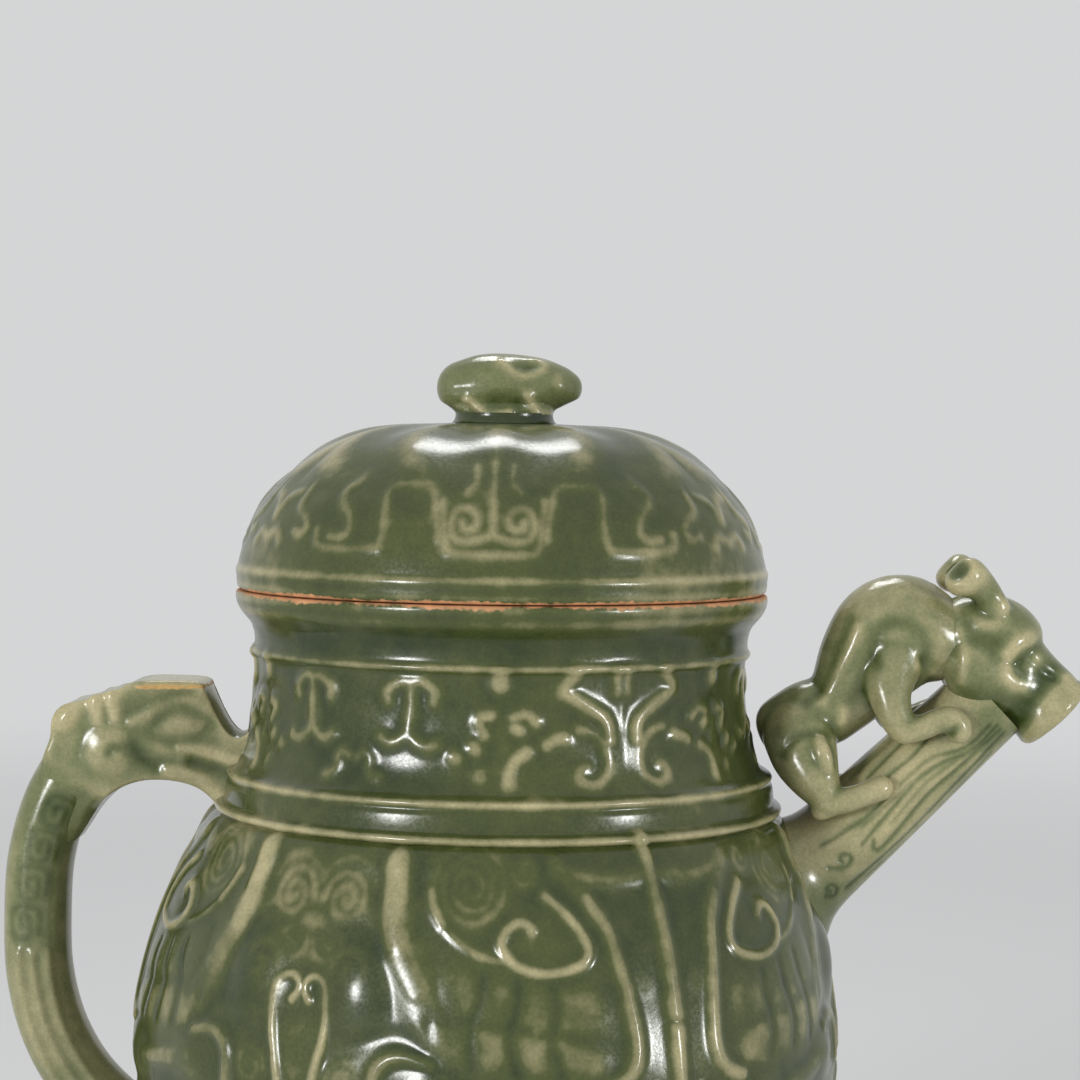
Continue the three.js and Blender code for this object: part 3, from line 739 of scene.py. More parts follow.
class EWER_OT_belly(bpy.types.Operator):
    """Model the three lobes of the belly with their mask in relief"""

    bl_idname = "ewer.belly"
    bl_label = "Belly lobes"

    def execute(self, context):
        upper = flow(BELLY_OUTLINE[9:], 0.4)
        middle = flow(BELLY_OUTLINE[5:10], 0.8)
        lower = flow(BELLY_OUTLINE[:6], 2.2)
        seam = [(BELLY_SEAM, NECK_JOINT)]
        outline = np.vstack([lower, middle[1:], upper[1:], flow(SHOULDER_RING, 0.35), seam])
        profile = np.vstack([outline, flow(BELLY_INSIDE, 3.5)])
        start = MASK_AZIMUTH - LOBE_SWEEP / 2
        lobe = turned("belly_lobe_front", profile, LOBE_STEPS, start, LOBE_SWEEP, closed=True)
        thin = self.press_mask(lobe, outline, context.scene.ewer.relief)
        lobes = [lobe]
        for turn, name in enumerate(("belly_lobe_back", "belly_lobe_handle_side"), 1):
            make_active(lobe)
            bpy.ops.object.duplicate()
            other = context.object
            other.name = name
            axis = Matrix.Translation((AXIS_X, 0, 0))
            turning = Matrix.Rotation(math.radians(turn * LOBE_SWEEP), 4, "Z")
            other.data.transform(axis @ turning @ axis.inverted())
            lobes.append(other)
        for piece in lobes:
            finish_piece(piece, "ewer", "Olive glaze", ("belly_upper", "belly_lower"), thin)
        return {"FINISHED"}

    def press_mask(self, lobe, outline, relief):
        """Raise the mask and the lobe's swelling, and give back how thin the glaze lies."""
        points = read_points(lobe)
        radius, outer = outer_skin(points, outline)
        skin = outer & (points[:, 2] > BELLY_BOTTOM + 2)
        angle = folded_angle(points, MASK_AZIMUTH)
        strokes = MASK_STROKES + ground_spirals() + GROUND_LINES
        line_height, line_pale = wall_strokes(points, angle, strokes, MASK_RADIUS)
        swell_height, swell_pale = swell_fields(angle, points[:, 2], MASK_RADIUS, MASK_SWELLS)
        shared = np.minimum(np.maximum(line_height, 0), swell_height)
        both = np.maximum(line_height, swell_height) + 0.25 * shared
        height = np.where(line_height < 0, swell_height + line_height, both)
        pale = np.where(line_pale < 0, swell_pale + line_pale, np.maximum(line_pale, swell_pale))
        pale = ring_tones(np.where(skin, pale, 0), points, outer, SHOULDER_TONES)
        height = soften(lobe, np.where(skin, height, 0) * relief, 3)
        swell = lobe_push(points)
        push_along_wall(points, outline, height)
        widen(points, 1 + swell / np.maximum(radius, 1) * np.clip(radius / 20, 0, 1))
        write_points(lobe, points)
        return edge_tones(lobe, height, soften(lobe, pale, 3))


# Neck: strokes as on the mask, but at the neck's radius

NECK_RADIUS = 54
NECK_STEPS = 640
NECK_RELIEF = 0.8
# Height of the band of painted shade in the hollow under the rim
RIM_SHADE_HEIGHT = 169.6
RIM_INSIDE = 53.2
NECK_TONES = ((138.3, 0.85, 0.8), (165.1, 0.85, 0.66), (174.2, 1.2, 0.35), (177.2, 1.4, 0.3))
NECK_OUTLINE = (
    (60.3, 131.9), (60.25, 134), (60, 136.2), (59.5, 137.1), (59.7, 137.7), (59.9, 138.3), (59.5, 138.9),
    (58.6, 139.4), (57.5, 140.2), (56.5, 141.6), (55.7, 143.5), (55.1, 146), (54.6, 149.7), (54, 153),
    (53.7, 157), (53.6, 161), (53.7, 163.4), (54.1, 164.1), (54.6, 164.6), (54.8, 165.1), (54.6, 165.6),
    (54.2, 166.2), (54.1, 167.4), (54.3, 169), (54.9, 170.8), (55.9, 172.1), (57.1, 173.5), (57.9, 174.9),
    (58.25, 176.2), (58.3, 177.2), (58.1, RIM_TOP - 0.2),
)
NECK_INSIDE = (
    (57.6, RIM_TOP), (53.4, RIM_TOP), (52.3, RIM_TOP - 0.8), (50.5, 174), (49.2, 168.6), (48.7, 160),
    (49, 150), (50.4, 144), (54, 136), (55.5, 131.9),
)
NECK_STROKES = (
    # Paired scrolls on the middle line
    (1.3, 0.35, 0.16, ((0, 164.6), (0, 151))),
    (2.6, 0.8, 0.5, ((1.2, 164.5), (1.1, 160.2))),
    (3.2, 1.1, 0.66, ((11.2, 164.2), (13.5, 161), (11.4, 159.2), (8.4, 157.4), (5.6, 155.8), (3.7, 153.6),
        (3.4, 150.6))),
    (3.9, 0.4, 0.14, ((2.6, 150), (2.2, 145), (2.4, 141))),
    (2.5, 0.75, 0.5, ((10.4, 152.9), (7.9, 152.5), (5.4, 151), (3.9, 148.3), (3.7, 145.5), (5.2, 142.8),
        (7.8, 141.7), (10.3, 142.9), (10.2, 144.8), (8.8, 145.1))),
    # Bird with its curling tail
    (2.8, 1.0, 0.66, ((17.4, 149.9), (15.6, 150.8), (13.6, 151.2))),
    (2.9, 1.0, 0.62, ((21.6, 148.4), (24, 147), (25.4, 144.6), (25.6, 142.2))),
    (4.2, 1.1, 0.7, ((27.4, 163.4), (27.4, 162))),
    (2.8, 1.0, 0.66, ((29.5, 155.6), (31.9, 154.9), (31.4, 153.2), (30.6, 151.8))),
    (3.2, 1.0, 0.66, ((33, 149.2), (32.6, 148.8))),
    (2.7, 1.0, 0.66, ((24.4, 155.3), (21.8, 156), (19.8, 154.5))),
    (3.2, 1.1, 0.7, ((24, 153.3), (23.4, 152.9))),
    (3.9, 0.4, 0.26, ((27.4, 153), (26.4, 148.6), (27, 144.6))),
    (2.8, 0.6, 0.4, ((31.5, 143.9), (31.4, 143.3))),
    (3.0, 1.0, 0.66, ((37, 147.4), (36.5, 147.2))),
    # Stem with drooping arms and a splayed foot
    (3.4, 0.9, 0.6, ((46.9, 161.4), (46.8, 157.6), (47.2, 154.2), (47.4, 151.8))),
    (2.9, 0.9, 0.62, ((46.9, 161.8), (45, 162.2), (43.2, 161.4), (41.6, 159.8), (41.9, 158.2))),
    (2.9, 0.9, 0.62, ((47.1, 161.8), (49, 162), (51, 161.2), (52.6, 159.8), (52.2, 158.2))),
    (2.8, 0.85, 0.58, ((47.4, 152.2), (45.8, 150.2), (43.4, 149), (41, 149.4))),
    (2.8, 0.85, 0.58, ((47.4, 152.2), (49.2, 150.4), (51.6, 149.6), (53.6, 150.6))),
    # Small curl
    (2.4, 0.8, 0.55, ((59, 146.4), (57.4, 147.4), (56, 146.2), (56, 144.2), (54.6, 142.8),
        (53.4, 142.4))),
)


class EWER_OT_neck(bpy.types.Operator):
    """Model the neck with its rings, band of scrolls and flared rim"""

    bl_idname = "ewer.neck"
    bl_label = "Neck"

    def execute(self, context):
        outline = flow(NECK_OUTLINE, 0.48)
        profile = np.vstack([outline, flow(NECK_INSIDE[:3], 0.6), flow(NECK_INSIDE[2:], 3)[1:]])
        neck = turned("neck_glazed", profile, NECK_STEPS, closed=True)
        points = read_points(neck)
        radius, skin = outer_skin(points, outline)
        angle = folded_angle(points, MASK_AZIMUTH)
        height, pale = wall_strokes(points, angle, NECK_STROKES, NECK_RADIUS)
        height = soften(neck, np.where(skin, height * context.scene.ewer.relief * NECK_RELIEF, 0), 5)
        pale = ring_tones(np.where(skin, pale, 0), points, skin, NECK_TONES)
        push_along_wall(points, outline, height)
        write_points(neck, points)
        # Painted shade: a darker band of glaze in the hollow under the rim's flare, where shade falls
        shade_under_rim = np.exp(-((points[:, 2] - RIM_SHADE_HEIGHT) / 3) ** 2)
        thin = edge_tones(neck, height, pale) - 0.2 * shade_under_rim
        bare = np.where(points[:, 2] > RIM_TOP - 1.6, 0.5 + 0.35 * (points[:, 2] - RIM_TOP + 0.6), 0)
        bare = np.where(radius < RIM_INSIDE, 0, bare)
        finish_piece(neck, "ewer", "Olive glaze", ("neck",), thin, bare)
        return {"FINISHED"}


# Lid: heights above the table with the lid closed, angles from the middle of its front pattern

LID_AZIMUTH = -89.4
LID_BAND_RADIUS = 53
LID_STEPS = 680
LID_SEAT_INSIDE = 51
LID_TONES = ((183, 0.9, 0.5), (179.5, 0.8, 0.3))
LID_OUTLINE = (
    (57.3, LID_SEAT), (57.9, LID_SEAT + 0.5), (58.15, 179.8), (58.2, 181.2), (58.35, 182.1),
    (58.3, 182.9), (57.9, 183.7), (57.6, 185), (56.9, 187.6), (55.9, 190.3), (54.7, 193.4), (53.3, 196.2),
    (51.7, 198.6), (49.6, 201), (46.9, 203.4), (43.8, 205.9), (40.4, 208.4), (37, 210.2), (33, 211.8),
    (27, 213.3), (20, 214.3), (10, 214.9), (0, 215),
)
LID_INSIDE = (
    (0, 209.9), (24.6, 208.3), (41, 199.6), (48.9, 188), (49.1, 184), (49.2, LID_SEAT), (56.4, LID_SEAT),
)
LID_STROKES = (
    # Stepped fret with a pair of spirals in it
    (2.1, 0.4, 0.44, ((24.7, 189.2), (24, 192), (24.6, 196.5), (25.4, 200.4), (24, 201.6), (19, 201.9),
        (14.9, 201.2), (13.4, 199.4), (12, 195), (11.2, 191.2))),
    (2.1, 0.4, 0.44, ((11.6, 198.6), (10.6, 194.4), (9.6, 189.8), (8, 188.3), (0, 188.1))),
    (2.1, 0.4, 0.44, ((0, 192), (3.4, 190.9), (7.4, 191), (9, 193.6), (8, 196.6), (5.4, 197.2),
        (3.4, 195.6), (3.9, 193.4), (6, 193.2), (6.6, 194.8))),
    (2.1, 0.4, 0.44, ((0, 206), (0, 199), (0, 192))),
    (1.9, 0.4, 0.38, ((4.9, 205.4), (4.3, 202.6), (6.2, 200.4))),
    # Curling stem on its ground line
    (2.1, 0.4, 0.42, ((35.2, 202.4), (37.6, 200.4), (36.8, 197.9), (33.6, 195.6), (32.4, 192.6),
        (34.4, 190.9), (37.4, 191))),
    (2.1, 0.4, 0.42, ((24.8, 189.1), (31, 188.7), (37, 188.8), (40.6, 189.6), (41.4, 192))),
    # Scrolls between two frets
    (2.1, 0.4, 0.4, ((50.8, 200.4), (50.2, 196.6), (46, 194.2), (45.2, 192.4), (47, 191.2),
        (49.2, 191.8))),
    (2.1, 0.4, 0.4, ((53.6, 200), (58, 198.4), (60, 195))),
    (2.1, 0.4, 0.4, ((60, 190.4), (56, 191.4), (54, 189.4))),
)
LID_PETALS = 12
PETAL_RISE = 0.9
FLANGE_WALL = 4
FLANGE_STEPS = 180


class EWER_OT_lid(bpy.types.Operator):
    """Model the domed lid with its pattern, and the bare flange under it"""

    bl_idname = "ewer.lid"
    bl_label = "Lid"

    def execute(self, context):
        band = flow(LID_OUTLINE[:14], 0.42)
        crown = flow(LID_OUTLINE[13:], 1.3)
        outline = np.vstack([band, crown[1:]])
        profile = np.vstack([outline, flow(LID_INSIDE[:6], 3), LID_INSIDE[-1:]])
        lid = turned("lid_glazed", profile, LID_STEPS, closed=True)
        points = read_points(lid)
        radius = np.hypot(points[:, 0], points[:, 1])
        outside = np.interp(points[:, 2], outline[:, 1], outline[:, 0])
        skin = radius > outside - 0.6
        angle = folded_angle(points, LID_AZIMUTH)
        height, pale = wall_strokes(points, angle, LID_STROKES, LID_BAND_RADIUS)
        arch = np.clip((points[:, 2] - 200.5) / 4, 0, 1) * np.clip((radius - 16) / 14, 0, 1)
        lean = np.radians(angle) + np.clip(212 - points[:, 2], 0, 12) * 0.02
        petal = 0.5 + 0.5 * np.cos(LID_PETALS * lean)
        height = np.maximum(height, PETAL_RISE * petal * arch)
        pale = np.maximum(pale, 0.6 * petal ** 3 * arch * np.clip((50 - radius) / 6, 0, 1))
        height = soften(lid, np.where(skin, height * context.scene.ewer.relief, 0), 4)
        pale = ring_tones(np.where(skin, pale, 0), points, skin, LID_TONES)
        push_along_wall(points, outline, height)
        write_points(lid, points)
        thin = edge_tones(lid, height, pale, ground=0.38, pool=0.16)
        bare = np.where(points[:, 2] < LID_SEAT + 1.2, 0.5 + 0.5 * (LID_SEAT + 0.6 - points[:, 2]), 0)
        bare = np.where(radius < LID_SEAT_INSIDE, 0, bare)
        finish_piece(lid, "lid", "Olive glaze", ("lid_dome",), thin, bare)
        self.make_flange()
        return {"FINISHED"}

    def make_flange(self):
        """The flange's bare clay, with the faint rings of the potter's wheel."""
        low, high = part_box("lid_flange")
        outer, bottom, top = round_size(low, high)
        inner = outer - FLANGE_WALL
        corner = (outer - 0.9, bottom + 0.15), (outer - 0.2, bottom + 1.2)
        wall = flow((*corner, (outer, bottom + 3), (outer, top)), 0.5)
        wall[:, 0] += 0.06 * np.sin(wall[:, 1] * 4)
        profile = np.vstack([wall, flow(((inner, top), (inner, bottom + 1), (inner + 0.8, bottom)), 0.8)])
        flange = turned("lid_flange_bare", profile, FLANGE_STEPS, closed=True)
        ones = np.ones(len(flange.data.vertices))
        finish_piece(flange, "lid", "Bare clay", ("lid_flange",), ones * 0.5, ones)


# Legs

LEG_OUTLINE = (
    (0, 0.4), (9.4, 0.4), (10.6, 0), (11.3, 0.5), (11.5, 1.6), (11.3, 3.2), (10.7, 5.6), (10.5, 9),
    (10.9, 13), (11.8, 18), (13.2, 24), (15, 30), (17.2, 36), (19.6, 42), (21.4, 47), (22.4, 52),
    (22.6, 55),
)
LEG_SINK = 2.2
LEG_STEPS = 96
LEG_FOOT = 9
LEG_DEGREE = 0.2
LEG_STROKES = (
    alike(2.2, 0.8, 0.7,
        ((0, 7), (0, 26), (0, 40)))
    + alike(1.8, 0.6, 0.6,
        ((6, 30), (9, 22), (8, 14), (5, 11), (4, 14)),
        ((12, 34), (15, 24), (14, 16)))
    + alike(2.0, 0.6, 0.6,
        ((0, 6.5), (20, 6.5), (36, 6.5)))
)


class EWER_OT_legs(bpy.types.Operator):
    """Model the three legs with their bare feet"""

    bl_idname = "ewer.legs"
    bl_label = "Legs"

    def execute(self, context):
        belly = np.array(BELLY_OUTLINE[:10])
        edge, level = LEG_OUTLINE[-1]
        top = [(reach, level) for reach in np.linspace(edge, 0, 16)]
        outline = np.vstack([LEG_OUTLINE[:2], flow(LEG_OUTLINE[1:], 0.7)[1:], top[1:]])
        for name in ("leg_handle_side", "leg_front", "leg_back"):
            low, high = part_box(name)
            middle = ((low.x + high.x) / 2 - AXIS_X, (low.y + high.y) / 2)
            leg = turned(name + "_glazed", outline, LEG_STEPS)
            points = read_points(leg)
            around = np.arctan2(points[:, 1], points[:, 0])
            outward = math.atan2(middle[1], middle[0])
            turn = np.degrees((around - outward + math.pi) % (2 * math.pi) - math.pi)
            height, pale = stroke_fields(np.abs(turn) * LEG_DEGREE, points[:, 2], LEG_STROKES)
            radius = np.maximum(np.hypot(points[:, 0], points[:, 1]), 1)
            widen(points, 1 + np.where(radius > LEG_FOOT, height, 0) / radius)
            points[:, 0] += middle[0] / MM
            points[:, 1] += middle[1] / MM
            reach = np.hypot(points[:, 0], points[:, 1])
            wall = np.interp(reach, belly[:, 0], belly[:, 1])
            points[:, 2] = np.minimum(points[:, 2], wall + LEG_SINK)
            write_points(leg, points)
            bare = np.clip(0.5 + (1.5 - points[:, 2]) * 0.6, 0, 1)
            finish_piece(leg, "ewer", "Olive glaze", (name,), edge_tones(leg, height, pale), bare)
        return {"FINISHED"}


# Spout: places along it, across it and above its middle line, in millimetres

SPOUT_BASE = (64.3, 113.8)
SPOUT_RISE = math.radians(44.3)
SPOUT_LENGTH = 60
SPOUT_SEAT = 2.2
SPOUT_AROUND = 240
SPOUT_ROWS = 190
SPOUT_FLARE = 2.6
SPOUT_FLARE_REACH = 3.4
SPOUT_RADIUS = ((0, 10.9), (8, 10.6), (20, 10.3), (34, 9.9), (48, 9.45), (60, 9.2))
SPOUT_LINES = (
    alike(0.8, -0.25, -0.5,
        ((11.5, 3.6), (15, 2.6), (18, 2.2), (23, 1.2), (30, 1.6)),
        ((18.2, -2.6), (25, -1.7), (36.4, -0.6), (43, -1.6), (49.5, -4.2), (57, -4)),
        ((29, 4.6), (34.4, 4.3), (39.4, 4), (45, 4.6)),
        ((33.4, 1.4), (41.8, 0.9), (48.7, -2.6), (56, -2.8)),
        ((20.8, -3.6), (19.4, -5), (20.4, -6.2), (26.3, -5.8), (35.8, -4.6), (45, -4.9), (57, -5.2)),
        ((9, -7.4), (18.3, -7.8), (28.3, -8), (41.2, -7.2), (57, -6.4)),
        ((26, 9), (33.5, 9), (42, 9)),
        ((29, 7), (36.2, 7.2), (46, 7.4)),
        ((9.5, -1.1), (11.3, -3.2), (13.4, -3.8), (14.6, -2.6), (13.6, -1.1), (12.3, -1.5), (12.4, -2.5)),
        ((4.8, -5.2), (6.1, -6.8), (7.7, -5.8), (7, -4.2), (5.8, -4.4), (6.1, -5.3)))
    + alike(0.8, -0.2, -0.34,
        ((21, 0.4), (30, 0.1), (38, -0.4), (44, -1.6)),
        ((26, -3.6), (36, -2.4), (43, -2.8), (50, -3.8)))
    + alike(0.8, -0.2, -0.4,
        ((14, -8.9), (30, -9.1), (45, -8.4), (52, -7.8)))
)
SPOUT_FLUTES = (
    alike(2.6, 0.25, 0.12,
        ((22, -4), (36, -2.8), (48, -4.6)),
        ((12, -5.4), (18, -6.9), (30, -6.9), (50, -6)),
        ((26, 0), (36, 1), (44, 0)))
)
# Shade where the beast's feet and head touch: along, above and size
SPOUT_SHADE = ((24, 4, 4.5), (46, 4, 4.5), (57, 0, 4), (33, 9, 5))


def on_spout(places):
    """Places along, across and above the spout as millimetres from the vessel's axis."""
    along, across, above = np.asarray(places, float).T
    return np.column_stack([
        SPOUT_BASE[0] + along * math.cos(SPOUT_RISE) - above * math.sin(SPOUT_RISE),
        across,
        SPOUT_BASE[1] + along * math.sin(SPOUT_RISE) + above * math.cos(SPOUT_RISE),
    ])


def spout_places(points):
    """Millimetres from the vessel's axis as places along, across and above the spout."""
    out, up = points[:, 0] - SPOUT_BASE[0], points[:, 2] - SPOUT_BASE[1]
    cos, sin = math.cos(SPOUT_RISE), math.sin(SPOUT_RISE)
    return np.column_stack([out * cos + up * sin, points[:, 1], up * cos - out * sin])


class EWER_OT_spout(bpy.types.Operator):
    """Model the spout with its cut lines, from the belly's wall to the beast's mouth"""

    bl_idname = "ewer.spout"
    bl_label = "Spout"

    def execute(self, context):
        spout = tube("spout_glazed", self.spout_rings())
        points = read_points(spout)
        places = spout_places(points)
        along, above = places[:, 0], places[:, 2]
        lines, dark = stroke_fields(along, above, SPOUT_LINES)
        flutes, pale = stroke_fields(along, above, SPOUT_FLUTES)
        facing = facing_sides(spout, 2, 0.3)
        push_out(spout, points, (lines + flutes) * facing * context.scene.ewer.relief)
        root = np.exp(-np.clip(along - 4, 0, 99) / 7)
        shade = np.zeros(len(points))
        for out, up, size in SPOUT_SHADE:
            shade += np.exp(-((along - out) ** 2 + (above - up) ** 2) / size ** 2)
        thin = 0.7 + 0.26 * np.clip((above + 6) / 8, 0, 1) + (dark + pale) * facing
        thin -= 0.35 * root + 0.22 * np.clip(shade, 0, 1)
        finish_piece(spout, "ewer", "Pale glaze", ("spout",), soften(spout, thin, 3))
        return {"FINISHED"}

    def spout_rings(self):
        """Rings from where the spout meets the belly's wall, with a fillet there, to its end."""
        wall = np.array(BELLY_OUTLINE)
        angles = np.linspace(0, 2 * math.pi, SPOUT_AROUND, endpoint=False)

        def ring(along, flare):
            radius = np.interp(along, *np.array(SPOUT_RADIUS).T) + flare
            return on_spout(np.column_stack([along, radius * np.sin(angles), radius * np.cos(angles)]))

        starts = np.zeros(len(angles))
        for _ in range(12):
            points = ring(starts, 0)
            reach = np.hypot(points[:, 0], points[:, 1])
            wanted = np.interp(points[:, 2], wall[:, 1], wall[:, 0]) - SPOUT_SEAT
            starts += (wanted - reach) / math.cos(SPOUT_RISE) * 0.7
        rings = []
        for share in np.linspace(0, 1, SPOUT_ROWS):
            lift = (SPOUT_LENGTH - starts) * share
            rings.append(ring(starts + lift, SPOUT_FLARE * np.exp(-(lift / SPOUT_FLARE_REACH) ** 1.4)))
        return rings


# Beast: chains of (along, across, above) places on the spout with their half sizes

BEAST_VOXEL = 0.42
TORSO = (
    ((23.4, 0, 27.6), (5.6, 6.8, 5.8)), ((25.4, 0, 24.6), (8.2, 8.6, 8.6)),
    ((29.6, 0, 24.4), (7.7, 8.6, 7.8)), ((34.4, 0, 23.4), (6, 8, 6)), ((39, 0, 24.2), (7.2, 8.4, 7.2)),
    ((46.1, 0, 25.9), (9.5, 9.6, 9.5)), ((53.2, 0, 26.6), (11.3, 10.6, 11.3)),
    ((57.4, 0, 24.8), (11.3, 10.7, 11.3)), ((59.8, 0, 20.4), (9.7, 10, 9.7)),
    ((61.4, 0, 16.6), (8.2, 8.8, 8.2)),
)
UNDERSIDE = (
    ((32.3, 0, 21.4), (6.4, 7.4, 6.4)), ((37.7, 0, 20.6), (6.4, 7.8, 6.4)),
    ((45.9, 0, 19.6), (6.4, 7.8, 6.4)), ((54.4, 0, 18), (6.2, 7.8, 6.2)),
    ((58.6, 0, 15.6), (6.4, 7.6, 6.4)),
)
HIND_LEG = (
    ((24.6, -4.4, 23.6), (8, 6.2, 8)), ((22.6, -7, 20), (7.4, 5.8, 7.4)),
    ((20.9, -9.4, 15.6), (5.7, 5, 5.7)), ((19.9, -11, 11.8), (4.1, 4.1, 4.1)),
    ((19.2, -11.4, 9.7), (3.4, 3.7, 3.2)), ((21.9, -11.6, 7.4), (2.9, 3.6, 2.9)),
    ((25.8, -11.4, 5.4), (2.8, 3.4, 2.7)), ((29.6, -11, 3.8), (2.9, 3.4, 2.8)),
)
HEEL = (((19.2, -11.4, 9), (3, 3.3, 3)), ((17.2, -11.2, 9.2), (2.6, 3, 2.4)))
FORE_LEG = (
    ((52.3, -4.6, 22.7), (7.8, 6, 7.8)), ((47.8, -7.6, 19.9), (5.9, 5, 5.9)),
    ((44.6, -9.6, 16.6), (4.6, 4.4, 4.6)), ((42.6, -10.8, 12.7), (3.8, 3.9, 3.8)),
    ((42, -11.3, 9.6), (3.2, 3.5, 3.2)), ((45, -11.3, 7.3), (2.8, 3.3, 2.8)),
    ((48, -10.9, 6.1), (2.8, 3.2, 2.8)), ((50.4, -10.8, 4.6), (3, 3.2, 3)),
    ((51, -10.6, 2.4), (3, 3.1, 3)), ((50.4, -10.6, 1.2), (2.9, 3, 2.9)),
)
KNEE = (
    ((27, -11.2, 20.6), (1.7, 1.6, 1.7)), ((25.6, -12.6, 18), (2.1, 1.9, 2.1)),
    ((24, -12.6, 15), (1.7, 1.7, 1.7)),
)
BEAST_LINES = (
    # Shoulder
    (3.6, -0.5, -0.16, ((47.4, 24.4), (49.4, 27), (52.6, 29), (56.4, 27.4), (58.6, 23.4), (58, 19.6),
        (55.4, 17.8))),
    (1.8, 0.4, 0.22, ((55.6, 19.4), (54.2, 18.3), (53.4, 17.4))),
    # Back
    (2.2, 0.35, 0.14, ((33.5, 25.6), (38, 27.6), (44, 29.4), (50, 32))),
    (2.2, -0.4, -0.1, ((31, 28), (36, 27.6), (43, 31.6), (50, 34.4))),
    # Haunch
    (2.0, -0.45, -0.14, ((19, 23.6), (23, 24.4), (27, 22.8), (29.6, 19.6))),
    # Belly and paw
    (2.6, 0.5, 0.16, ((35.2, 21), (33.4, 19.8))),
    (1.2, -0.4, -0.2, ((48.2, 1.9), (50.4, 2.6))),
)
HEAD = (
    ((62.6, 0, 15.4), (7.6, 8.4, 7.6)), ((67.4, 0, 13.2), (8.8, 9.4, 8.8)),
    ((70.4, 0, 9), (9.1, 10.2, 9.1)), ((73.6, 0, 6.4), (6.1, 8, 6.1)),
)
CHEEK = (
    ((63, -3.4, 9.4), (7.4, 7.4, 7.4)), ((62.2, -3.4, 6), (7.6, 7.6, 7.6)),
    ((63.8, -2.6, 2.2), (7.4, 7, 7.4)),
)
MUZZLE = (
    ((66.6, 0, 2), (8.4, 8.6, 5)), ((66.6, 0, -3), (8.4, 8.2, 5)), ((67.2, 0, -7), (8.3, 8, 3)),
    ((67.8, 0, -9.8), (8.9, 8.7, 1.9)),
)
SNOUT = (
    ((73.2, 0, 1.6), (3.9, 7, 3.6)), ((73.4, 0, -3), (3.4, 6, 3.4)), ((74.6, 0, -8.6), (2.4, 5, 2.4)),
)
EAR = (
    ((74.2, -6.2, 14.6), (3.4, 3.2, 3.4)), ((75.3, -7, 18.4), (3.2, 3.1, 3.2)),
    ((75.1, -8.2, 21.4), (3.8, 3.6, 3.2)), ((74.2, -9.2, 24), (4.8, 4.2, 3.4)),
    ((74.1, -9.5, 25), (4.6, 4, 3.1)),
)
HORN = (((75.4, -7, 18), (2, 2.2, 2)), ((75.4, -6.4, 15), (2, 2.4, 2)))
EAR_HOLLOW = (73.9, 26.6)
EAR_HOLLOW_REACH = (3.1, 1.9)
MOUTH_RADIUS = 7.2
MOUTH_DEPTH = 9
LIP_MIDDLE = (68.1, -11.4)
LIP_REACH = (7.9, 7.7)
LIP_THICKNESS = (1.5, 1.5, 1.6)
HEAD_LINES = (
    # Eye, brow and the hollow between them
    (4.4, 0.55, 0.32, ((72, 0.9), (71.6, 0.5))),
    (3.4, 0.55, 0.5, ((75, 4.8), (72.4, 6), (69.3, 5.6), (66.9, 3.6), (66, 1.2), (66.8, -1.9))),
    (4.2, -0.02, -0.2, ((73.6, 2.6), (70.6, 2.2), (69.4, 0), (70.4, -2.2), (73.4, -2.8))),
    # Foot of the ear
    (3.4, 0.35, 0.34, ((69.4, 14.4), (71.4, 12.8), (74, 12.6), (76.4, 13.8))),
    # Mouth and jaw
    (4.8, -0.2, -0.26, ((60.6, -8), (63.4, -6), (66.4, -4.5), (70.4, -4.4), (74.4, -4))),
    (9, -0.02, -0.24, ((57.8, 3), (59, -2), (60.6, -7.4))),
    # Lips
    (3.6, 0.4, 0.72, ((59.2, -11.2), (64.2, -9.8), (67.4, -8.4), (71, -7.9), (77, -8.6))),
    (5.6, 0.3, 0.74, ((68, -10.4), (77, -9.6))),
    # Nape and cheek
    (3.6, -0.3, -0.24, ((66.6, 18.6), (67.8, 14), (69.4, 9.4))),
    (2.4, 0.5, 0.12, ((68.4, 20.8), (65.6, 16.8), (62.4, 12.2), (58.4, 8.6))),
    # Ear
    (2.8, 0.1, -0.36, ((72, 26.6), (74.4, 27))),
    (3.9, 0.3, 0.4, ((70.2, 25), (72.6, 22.8), (76.6, 22.6))),
)


